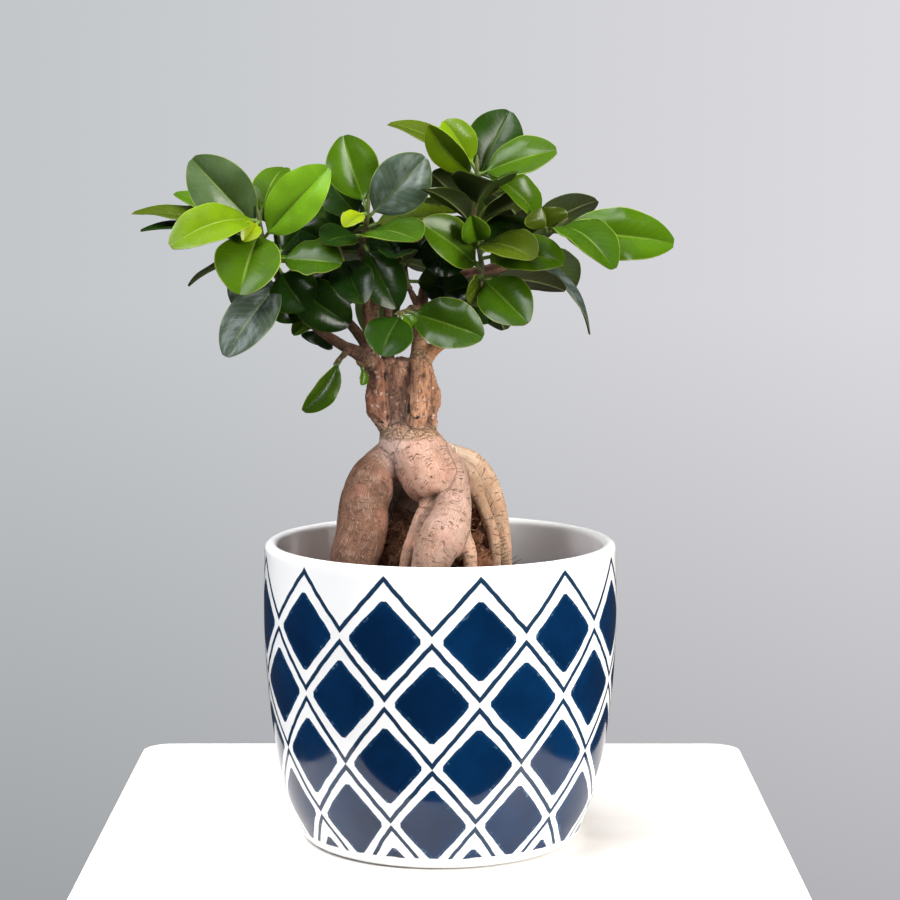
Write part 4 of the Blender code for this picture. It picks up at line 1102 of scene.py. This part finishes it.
def make_grow_pot(coat):
    foot, top, wall = GROW_FOOT_RADIUS, GROW_TOP_RADIUS, GROW_WALL
    skirt = GROW_TOP - GROW_RIM_HEIGHT
    floor, inner = GROW_FLOOR, GROW_FLOOR + GROW_WALL
    outline = [(AXIS_HOLE, floor), (foot - 1, floor), (foot, floor + 1), (top, skirt)]
    outline += [(GROW_RIM_RADIUS - 0.3, skirt), (GROW_RIM_RADIUS, skirt + 0.4)]
    outline += [(GROW_RIM_RADIUS, GROW_TOP - 0.5), (GROW_RIM_RADIUS - 0.4, GROW_TOP)]
    outline += [(top - wall + 0.4, GROW_TOP), (top - wall, GROW_TOP - 0.5)]
    outline += [(top - wall, skirt - wall), (foot - wall, inner), (AXIS_HOLE, inner)]
    part_of(turned("nursery_pot", outline, GROW_SIDES, coat, 35), "grow_pot")


class Value:
    """A value in a material's graph, so that sums with numbers are written as sums."""

    def __init__(self, graph, socket):
        self.graph = graph
        self.socket = socket

    def __add__(self, other):
        return self.graph.math("ADD", self, other)

    def __sub__(self, other):
        return self.graph.math("SUBTRACT", self, other)

    def __rsub__(self, other):
        return self.graph.math("SUBTRACT", other, self)

    def __mul__(self, other):
        return self.graph.math("MULTIPLY", self, other)

    def __abs__(self):
        return self.graph.math("ABSOLUTE", self)


class Graph:
    """Short ways to add shader nodes to a tree."""

    def __init__(self, tree):
        self.nodes = tree.nodes
        self.links = tree.links

    def put(self, socket, value):
        if isinstance(value, Value):
            self.links.new(value.socket, socket)
        elif isinstance(value, tuple) and len(value) == 3 and len(socket.default_value) == 4:
            socket.default_value = (*value, 1)
        else:
            socket.default_value = value

    def node(self, kind, inputs, output, **settings):
        """An output of a new node with these inputs and settings, or a list of outputs."""
        node = self.nodes.new("ShaderNode" + kind)
        for name, setting in settings.items():
            setattr(node, name, setting)
        for key, value in inputs.items():
            self.put(node.inputs[key], value)
        if isinstance(output, tuple):
            return [Value(self, node.outputs[key]) for key in output]
        return Value(self, node.outputs[output])

    def math(self, operation, *values):
        return self.node("Math", dict(enumerate(values)), 0, operation=operation)

    def most(self, first, *others):
        for other in others:
            first = self.math("MAXIMUM", first, other)
        return first

    def least(self, first, *others):
        for other in others:
            first = self.math("MINIMUM", first, other)
        return first

    def ramp(self, value, low, high, start=0.0, end=1.0):
        """Smooth step of a value from low to high."""
        given = dict(enumerate((value, low, high, start, end)))
        return self.node("MapRange", given, 0, interpolation_type="SMOOTHSTEP")

    def mix(self, share, a, b, blend="MIX"):
        return self.node("Mix", {0: share, 6: a, 7: b}, 2, data_type="RGBA", blend_type=blend)

    def layers(self, tone, *coats):
        """The tone under thin coats, each given as its share and colour."""
        for share, colour in coats:
            tone = self.mix(share, tone, colour)
        return tone

    def attribute(self, name, output="Vector"):
        return self.node("Attribute", {}, output, attribute_name=name)

    def split(self, vector):
        return self.node("SeparateXYZ", {0: vector}, (0, 1, 2))

    def joined(self, x, y, z):
        return self.node("CombineXYZ", {0: x, 1: y, 2: z}, 0)

    def fitted(self, vector, scale):
        """The vector and the scale for a texture; a scale for each axis goes into the vector."""
        if isinstance(scale, tuple):
            return self.node("Mapping", {"Vector": vector, "Scale": scale}, 0), 1.0
        return vector, scale

    def noise(self, vector, scale, detail=2.0, rough=0.5):
        vector, scale = self.fitted(vector, scale)
        given = {"Vector": vector, "Scale": scale, "Detail": detail, "Roughness": rough}
        return self.node("TexNoise", given, "Fac")

    def cells(self, vector, scale):
        """Distance to the nearest cell's middle, and that cell's random number."""
        vector, scale = self.fitted(vector, scale)
        distance, colour = self.node("TexVoronoi", {"Vector": vector, "Scale": scale}, ("Distance", "Color"))
        return distance, self.split(colour)[0]

    def bump(self, height, distance, strength=1.0, under=None):
        given = {"Strength": strength, "Distance": distance, "Height": height}
        if under is not None:
            given["Normal"] = under
        return self.node("Bump", given, 0)


class Coat(Graph):
    """The graph of a new material."""

    def __init__(self, name, colour, roughness):
        self.material = bpy.data.materials.new(name)
        self.material.use_nodes = True
        super().__init__(self.material.node_tree)
        self.here = self.node("TexCoord", {}, "Object")
        self.finish(colour, roughness)

    def finish(self, colour, roughness=None, normal=None, shine=None):
        """The material with these inputs of its shader; shine is the strength of mirrored light."""
        given = {"Base Color": colour, "Roughness": roughness, "Normal": normal, "Specular IOR Level": shine}
        for name, value in given.items():
            if value is not None:
                self.put(self.nodes["Principled BSDF"].inputs[name], value)
        return self.material


def blade(coat):
    """Share of the blade's length, share of its half width, the leaf's own random number and its tint."""
    share, across, pick = coat.split(coat.attribute("place"))
    return share, abs(across), pick, coat.attribute("tint", "Color")


def vein_lines(coat, share, side):
    """1 on the fine side veins that run forward from the midrib, 0 between them."""
    phase = share * 13.0 - side * 2.6 + coat.noise(coat.here, 160) * 0.5
    saw = abs(coat.math("FRACT", phase) - 0.5)
    return coat.ramp(saw, 0.40, 0.5) * coat.ramp(side, 0.95, 0.7)


def upper_leaf():
    coat = Coat("leaf upper face", (0.03, 0.11, 0.02), 0.3)
    share, side, pick, tint = blade(coat)
    _, green, blue = coat.split(tint)
    light = coat.ramp(green, 0.01, 0.10, 0.12, 1.0)
    sheen_leaf = coat.ramp(blue - green * 0.3, 0.0, 0.018)
    cloud = coat.noise(coat.here, 70, 3)
    veins = vein_lines(coat, share, side)
    rib = coat.ramp(side, 0.062, 0.018) * coat.ramp(share, 1.0, 0.6)
    rim = coat.ramp(side, 0.955, 0.99)
    brown_tip = coat.ramp(share, 0.965, 0.99) * coat.ramp(pick, 0.62, 0.66)
    # Painted sheen lies in pale strokes along the side veins of the greyish leaves
    along_veins = coat.joined(share - side * 0.25, side + 3.0, pick)
    sheen_strokes = coat.ramp(coat.noise(along_veins, (5.0, 2.2, 1.0), 3), 0.44, 0.66)
    tone = coat.layers(
        coat.mix(coat.ramp(cloud, 0.35, 0.68), tint, (0.70, 0.72, 0.62), "MULTIPLY"),
        (coat.ramp(cloud, 0.5, 0.8) * 0.08, (0.20, 0.34, 0.03)),
        (veins * light * 0.07, (0.20, 0.30, 0.05)),
        # Painted sheen on the greyish leaves, in strokes and along the veins
        (rib * light * 0.42, (0.20, 0.30, 0.045)),
        (sheen_strokes * sheen_leaf * 0.17, (0.36, 0.41, 0.42)),
        (veins * sheen_leaf * 0.08, (0.30, 0.36, 0.33)),
        (rim * light * 0.55, (0.28, 0.36, 0.06)),
        (brown_tip * 0.8, (0.10, 0.05, 0.02)),
        (coat.ramp(share, 0.03, -0.05), PETIOLE_TONE),
    )
    roughness = coat.ramp(coat.noise(coat.here, 240, 3), 0.3, 0.7, 0.18, 0.28)
    grain = coat.bump(coat.noise(coat.here, 1500), 0.00006, 0.5)
    return coat.finish(tone, roughness, coat.bump(veins, 0.00010, 0.12, grain), 0.2)


def under_leaf():
    coat = Coat("leaf underside", (0.08, 0.13, 0.04), 0.5)
    share, side, _, tint = blade(coat)
    veins = vein_lines(coat, share, side)
    tone = coat.layers(
        tint,
        (0.45, (0.060, 0.088, 0.014)),
        (coat.ramp(coat.noise(coat.here, 90, 3), 0.35, 0.7) * 0.35, (0.042, 0.038, 0.012)),
        (veins * 0.15, (0.12, 0.16, 0.04)),
        (coat.ramp(side, 0.085, 0.03) * 0.6, (0.20, 0.24, 0.09)),
        (coat.ramp(share, 0.03, -0.05), PETIOLE_TONE),
    )
    return coat.finish(tone, 0.48, coat.bump(veins, 0.0002, 0.4), 0.25)


def twig_bark():
    coat = Coat("young twig", TWIG_TONE, 0.6)
    run, _, _ = coat.split(coat.attribute("place"))
    rings = coat.noise(coat.here, 420, 3)
    tint = coat.attribute("tint", "Color")
    tone = coat.mix(coat.ramp(rings, 0.4, 0.65), tint, (0.45, 0.40, 0.30), "MULTIPLY")
    tone = coat.mix(coat.ramp(run, 8, 26) * 0.6, tone, (0.10, 0.15, 0.035))
    return coat.finish(tone, 0.55, coat.bump(rings, 0.0003, 0.5))


def bark():
    """Smooth marked roots, flaking stump with pale pores, crusted neck between them, and ringed branches."""
    coat = Coat("bark", (0.38, 0.23, 0.15), 0.75)
    grain = coat.attribute("grain")
    tint = coat.attribute("tint", "Color")
    rough, woody, crack_and_shade_line = coat.split(coat.attribute("marks"))
    smooth = 1.0 - rough
    x, y, run = coat.split(grain)
    bent = coat.joined(x, y, run + coat.noise(grain, (0.3, 0.3, 0.3)) * 3.2)
    cloud = coat.noise(coat.here, 55, 4, 0.6)
    rose = coat.ramp(coat.noise(coat.here, 95, 3), 0.50, 0.68)
    pale = coat.ramp(coat.noise(coat.here, 120, 4, 0.6), 0.52, 0.74)
    streak = coat.noise(bent, (1.9, 1.9, 0.20), 4, 0.65)
    thread = coat.noise(bent, (4.2, 4.2, 0.22), 3, 0.6)
    dash = coat.ramp(coat.noise(bent, (0.27, 0.27, 1.75)), 0.615, 0.665)
    tick = coat.ramp(coat.noise(bent, (0.62, 0.62, 2.6)), 0.69, 0.73)
    dash = coat.most(dash, tick * 0.7) * smooth
    speck = coat.ramp(coat.noise(grain, (0.9, 0.9, 0.9)), 0.70, 0.76)
    flake = coat.noise(bent, (0.5, 0.5, 0.26), 5, 0.7)
    band = coat.ramp(rough * smooth, 0.06, 0.2)
    crust = coat.noise(grain, (0.75, 0.75, 1.2), 3, 0.6)
    apart, pick = coat.cells(bent, (0.36, 0.36, 0.42))
    pores = coat.ramp(apart, 0.40, 0.24) * coat.ramp(pick, 0.42, 0.5) * rough
    ring = coat.ramp(coat.noise(grain, (0.12, 0.12, 1.1)), 0.58, 0.68) * woody
    tone = coat.layers(
        coat.mix(coat.ramp(cloud, 0.36, 0.66), coat.mix(1.0, tint, (0.66, 0.58, 0.50), "MULTIPLY"), tint),
        (rose * smooth * 0.22, (0.52, 0.22, 0.15)),
        (pale * smooth * 0.16, (0.78, 0.58, 0.46)),
        (coat.ramp(streak, 0.55, 0.75) * 0.18, (0.70, 0.50, 0.38)),
        (coat.ramp(streak, 0.46, 0.26) * 0.42, (0.17, 0.09, 0.055)),
        (coat.ramp(thread, 0.52, 0.68) * smooth * 0.22, (0.86, 0.66, 0.52)),
        (coat.ramp(thread, 0.48, 0.34) * smooth * 0.40, (0.16, 0.08, 0.05)),
        (dash * 0.72, (0.10, 0.05, 0.03)),
        (speck * 0.55, (0.075, 0.04, 0.025)),
        (coat.ramp(flake, 0.51, 0.39) * rough * 0.7, (0.05, 0.028, 0.018)),
        (coat.ramp(flake, 0.53, 0.66) * rough * 0.5, (0.44, 0.29, 0.20)),
        (band * 0.6, (0.46, 0.28, 0.16)),
        (coat.ramp(crust, 0.5, 0.38) * band * 0.75, (0.09, 0.045, 0.025)),
        (coat.ramp(crust, 0.54, 0.66) * band * 0.7, (0.80, 0.58, 0.40)),
        (pores * 0.7, (0.66, 0.42, 0.33)),
        (ring * 0.6, (0.07, 0.035, 0.02)),
        # Near black in the cracks, and painted shade along the grafts' edges
        (coat.ramp(crack_and_shade_line, 0.05, 0.5), (0.022, 0.012, 0.008)),
    )
    normal = coat.bump(coat.noise(grain, (1.6, 1.6, 0.6), 4, 0.65), 0.00035, 0.8)
    normal = coat.bump(thread * smooth, 0.0005, 0.8, normal)
    normal = coat.bump(crust * band, 0.0015, 0.9, normal)
    normal = coat.bump(dash, -0.0006, 0.9, normal)
    normal = coat.bump(pores, 0.0008, 0.9, normal)
    normal = coat.bump(flake * rough, 0.0022, 0.9, normal)
    return coat.finish(tone, coat.ramp(streak, 0.3, 0.7, 0.55, 0.75), normal, 0.38)


def soil():
    coat = Coat("soil", (0.05, 0.03, 0.02), 0.95)
    cloud = coat.ramp(coat.noise(coat.here, 260, 4, 0.7), 0.35, 0.7)
    tone = coat.mix(cloud, (0.018, 0.010, 0.007), (0.095, 0.052, 0.030))
    _, pick = coat.cells(coat.here, 420)
    tone = coat.mix(coat.ramp(pick, 0.8, 0.95) * 0.6, tone, (0.20, 0.12, 0.07))
    return coat.finish(tone, 0.95, coat.bump(coat.noise(coat.here, 900, 4, 0.7), 0.0012, 0.9), 0.2)


def soil_bit():
    coat = Coat("soil bits", (0.08, 0.045, 0.025), 0.9)
    cloud = coat.noise(coat.here, 700, 3, 0.6)
    tint = coat.attribute("tint", "Color")
    tone = coat.mix(coat.ramp(cloud, 0.35, 0.7), tint, (0.45, 0.42, 0.40), "MULTIPLY")
    return coat.finish(tone, 0.9, coat.bump(cloud, 0.0005, 0.8), 0.25)


def plastic():
    coat = Coat("nursery pot plastic", (0.09, 0.04, 0.022), 0.45)
    cloud = coat.ramp(coat.noise(coat.here, 60, 4), 0.35, 0.7)
    tone = coat.mix(cloud, (0.085, 0.038, 0.022), (0.115, 0.055, 0.034))
    roughness = coat.ramp(coat.noise(coat.here, 300, 3), 0.3, 0.7, 0.38, 0.52)
    return coat.finish(tone, roughness, coat.bump(coat.noise(coat.here, 900), 0.0001, 0.4))


def glaze():
    """White glaze with a navy lattice of thin double lines and solid diamonds, slightly uneven by hand."""
    coat = Coat("glazed ceramic", (0.86, 0.87, 0.88), 0.1)
    x, y, z = coat.split(coat.here)
    shake = coat.noise(coat.here, 26) - 0.5
    shiver = coat.noise(coat.here, 190) - 0.5
    height = z * (1 / MM) + (shake * 1.1 + shiver * 1.3)
    bearing = coat.math("ARCTAN2", x, y * -1.0)
    column = (bearing - FIRST_COLUMN) * (COLUMNS / (2 * math.pi)) + shake * 0.02
    on_column = abs(coat.math("FRACT", column + (COLUMNS + 0.5)) - 0.5)
    between = 0.5 - on_column
    marks = []
    for over, amid in ZIGZAGS:
        line = on_column * (2 * (amid - over)) + over
        apart = abs(height - line) * ZIGZAG_SLOPE
        marks.append(coat.ramp(apart, ZIGZAG_HALF_WIDTH + ZIGZAG_EDGE, ZIGZAG_HALF_WIDTH - ZIGZAG_EDGE))
    lines = coat.most(*marks)
    marks = []
    middles = [(middle, on_column) for middle in DIAMONDS_ON_COLUMNS]
    middles += [(middle, between) for middle in DIAMONDS_BETWEEN]
    for middle, offset in middles:
        up = abs(height - middle) * (1 / DIAMOND_HALF_HEIGHT)
        side = offset * (1 / DIAMOND_HALF_WIDTH)
        apart = coat.math("POWER", up, DIAMOND_SWELL) + coat.math("POWER", side, DIAMOND_SWELL)
        marks.append(coat.least(1.0 - apart, (0.95 - up) * 1.5, (0.95 - side) * 1.5))
    diamonds = coat.most(*marks)
    solid = coat.ramp(diamonds, -0.012, 0.012)
    facing = coat.split(coat.node("NewGeometry", {}, "Normal"))
    outside = coat.ramp(facing[0] * x + facing[1] * y, -0.001, 0.001)
    painted = coat.most(lines, solid)
    painted = painted * coat.ramp(height, PATTERN_FOOT - 0.2, PATTERN_FOOT + 0.2)
    painted = painted * coat.ramp(height, PATTERN_TOP + 0.5, PATTERN_TOP) * outside
    cloud = coat.ramp(coat.noise(coat.here, 34, 4, 0.6), 0.35, 0.7)
    freckle = coat.ramp(coat.noise(coat.here, 420, 3, 0.7), 0.57, 0.66)
    rim = coat.ramp(diamonds, 0.18, 0.0) * solid
    navy = coat.layers(
        coat.mix(cloud, (0.0002, 0.012, 0.046), (0.0005, 0.020, 0.072)),
        (freckle * rim * 0.55, (0.16, 0.30, 0.44)),
        (rim * 0.25, (0.012, 0.075, 0.18)),
        (lines * (1.0 - solid) * 0.5, (0.016, 0.045, 0.085)),
    )
    white = coat.ramp(coat.noise(coat.here, 12), 0.3, 0.7)
    white = coat.mix(white, (0.86, 0.865, 0.875), (0.83, 0.835, 0.85))
    # Painted light: the inner wall near the lip is painted whiter than the outside glaze
    inside_painted_light = (1.0 - outside) * coat.ramp(height, 118.0, 112.0)
    tone = coat.layers(white, (painted, navy), (inside_painted_light, (0.95, 0.94, 0.975)))
    ripple = coat.bump(coat.noise(coat.here, 45), 0.0004, 0.12)
    roughness = coat.ramp(coat.noise(coat.here, 120, 3), 0.3, 0.7, 0.07, 0.13)
    return coat.finish(tone, roughness, coat.bump(painted, 0.00022, 0.6, ripple), 0.42)


def floor_coat():
    coat = Coat("pale floor", (0.82, 0.80, 0.775), 0.4)
    cloud = coat.ramp(coat.noise(coat.here, (9, 54, 9), 4), 0.35, 0.7)
    return coat.finish(coat.mix(cloud, (0.82, 0.80, 0.775), (0.80, 0.76, 0.73)), shine=0.3)


def make_floor(coat):
    """A flat floor as wide and deep as the one in the photo, with rounded corners."""
    side, back = FLOOR_SIDE - FLOOR_CORNER, FLOOR_BACK - FLOOR_CORNER
    front = FLOOR_FRONT + FLOOR_CORNER
    outline = []
    for turn, (x, y) in enumerate(((side, back), (-side, back), (-side, front), (side, front))):
        for step in range(FLOOR_CORNER_STEPS + 1):
            angle = (turn + step / FLOOR_CORNER_STEPS) * math.pi / 2
            outline.append((x + FLOOR_CORNER * math.cos(angle), y + FLOOR_CORNER * math.sin(angle), 0))
    mesh = bpy.data.meshes.new("floor")
    mesh.from_pydata(outline, [], [tuple(range(len(outline)))])
    mesh.materials.append(coat)
    add_piece("floor", mesh)


def soft_light(name, place, aim, size, energy, colour):
    """A square lamp that shines from one place at another."""
    lamp = bpy.data.lights.new(name, "AREA")
    lamp.shape = "RECTANGLE"
    lamp.size, lamp.size_y = size
    lamp.energy = energy
    lamp.color = colour
    obj = add_piece(name, lamp)
    obj.location = place
    obj.rotation_euler = (Vector(aim) - Vector(place)).to_track_quat("-Z", "Y").to_euler()
    return obj


def light_world():
    """A pale backdrop that brightens to the right, even light, and a room that mirrors dark."""
    world = bpy.data.worlds.new("studio")
    world.use_nodes = True
    graph = Graph(world.node_tree)
    even = graph.nodes["Background"]
    graph.put(even.inputs["Color"], WHITE)
    graph.put(even.inputs["Strength"], AMBIENT)
    room = graph.node("Background", {"Color": WHITE, "Strength": REFLECTED_ROOM}, 0)
    x, _, z = graph.split(graph.node("TexCoord", {}, "Generated"))
    low, high = BACKDROP_SPREAD
    spread = graph.node("MapRange", {"Value": x, "From Min": low, "From Max": high}, 0)
    low, high = BACKDROP_FALL
    fall = graph.node("MapRange", {"Value": z, "From Min": low, "From Max": high, "To Min": BACKDROP_FOOT}, 0)
    backdrop = graph.mix(spread, BACKDROP_LEFT, BACKDROP_RIGHT)
    shown = graph.node("Background", {"Color": backdrop, "Strength": fall}, 0)
    glossy, direct = graph.node("LightPath", {}, ("Is Glossy Ray", "Is Camera Ray"))
    mirrored = graph.node("MixShader", {0: glossy, 1: Value(graph, even.outputs[0]), 2: room}, 0)
    either = graph.node("MixShader", {0: direct, 1: mirrored, 2: shown}, 0)
    graph.put(graph.nodes["World Output"].inputs["Surface"], either)
    bpy.context.scene.world = world


def light_and_camera():
    light_world()
    soft_light("left softbox", (-0.80, -0.60, 1.15), (0, 0, 0.16), (0.6, 0.7), 15, (0.97, 0.98, 1.0))
    soft_light("right softbox", (1.05, -0.70, 0.50), (0, 0, 0.14), (0.5, 0.8), 29, (1.0, 0.96, 0.90))
    top = soft_light("top softbox", (-0.25, 0.0, 1.2), (0, 0, 0.12), (1.3, 1.0), 30, WHITE)
    top.visible_glossy = False
    card = soft_light("front card", (-0.30, -1.0, 0.80), (0, 0, 0.25), (0.35, 0.35), 7, WHITE)
    card.visible_diffuse = False
    camera = bpy.data.cameras.new("camera")
    camera.lens = CAMERA_LENS
    camera.sensor_width = CAMERA_SENSOR
    camera.clip_start = 0.01
    obj = add_piece("camera", camera)
    obj.location = CAMERA_PLACE
    obj.rotation_euler = (CAMERA_TILT, 0, 0)
    bpy.context.scene.camera = obj
    bpy.context.scene.view_settings.view_transform = "Standard"


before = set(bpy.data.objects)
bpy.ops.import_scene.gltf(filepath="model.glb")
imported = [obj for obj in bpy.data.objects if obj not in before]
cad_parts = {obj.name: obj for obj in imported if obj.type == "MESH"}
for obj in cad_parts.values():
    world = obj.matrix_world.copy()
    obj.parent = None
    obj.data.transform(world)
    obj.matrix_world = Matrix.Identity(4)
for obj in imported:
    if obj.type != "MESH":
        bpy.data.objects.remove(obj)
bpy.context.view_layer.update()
light_and_camera()
make_floor(floor_coat())
make_pot(glaze())
make_grow_pot(plastic())
make_soil(soil())
make_bits(soil_bit())
make_trunk(bark())
make_shoots([upper_leaf(), under_leaf(), twig_bark()])
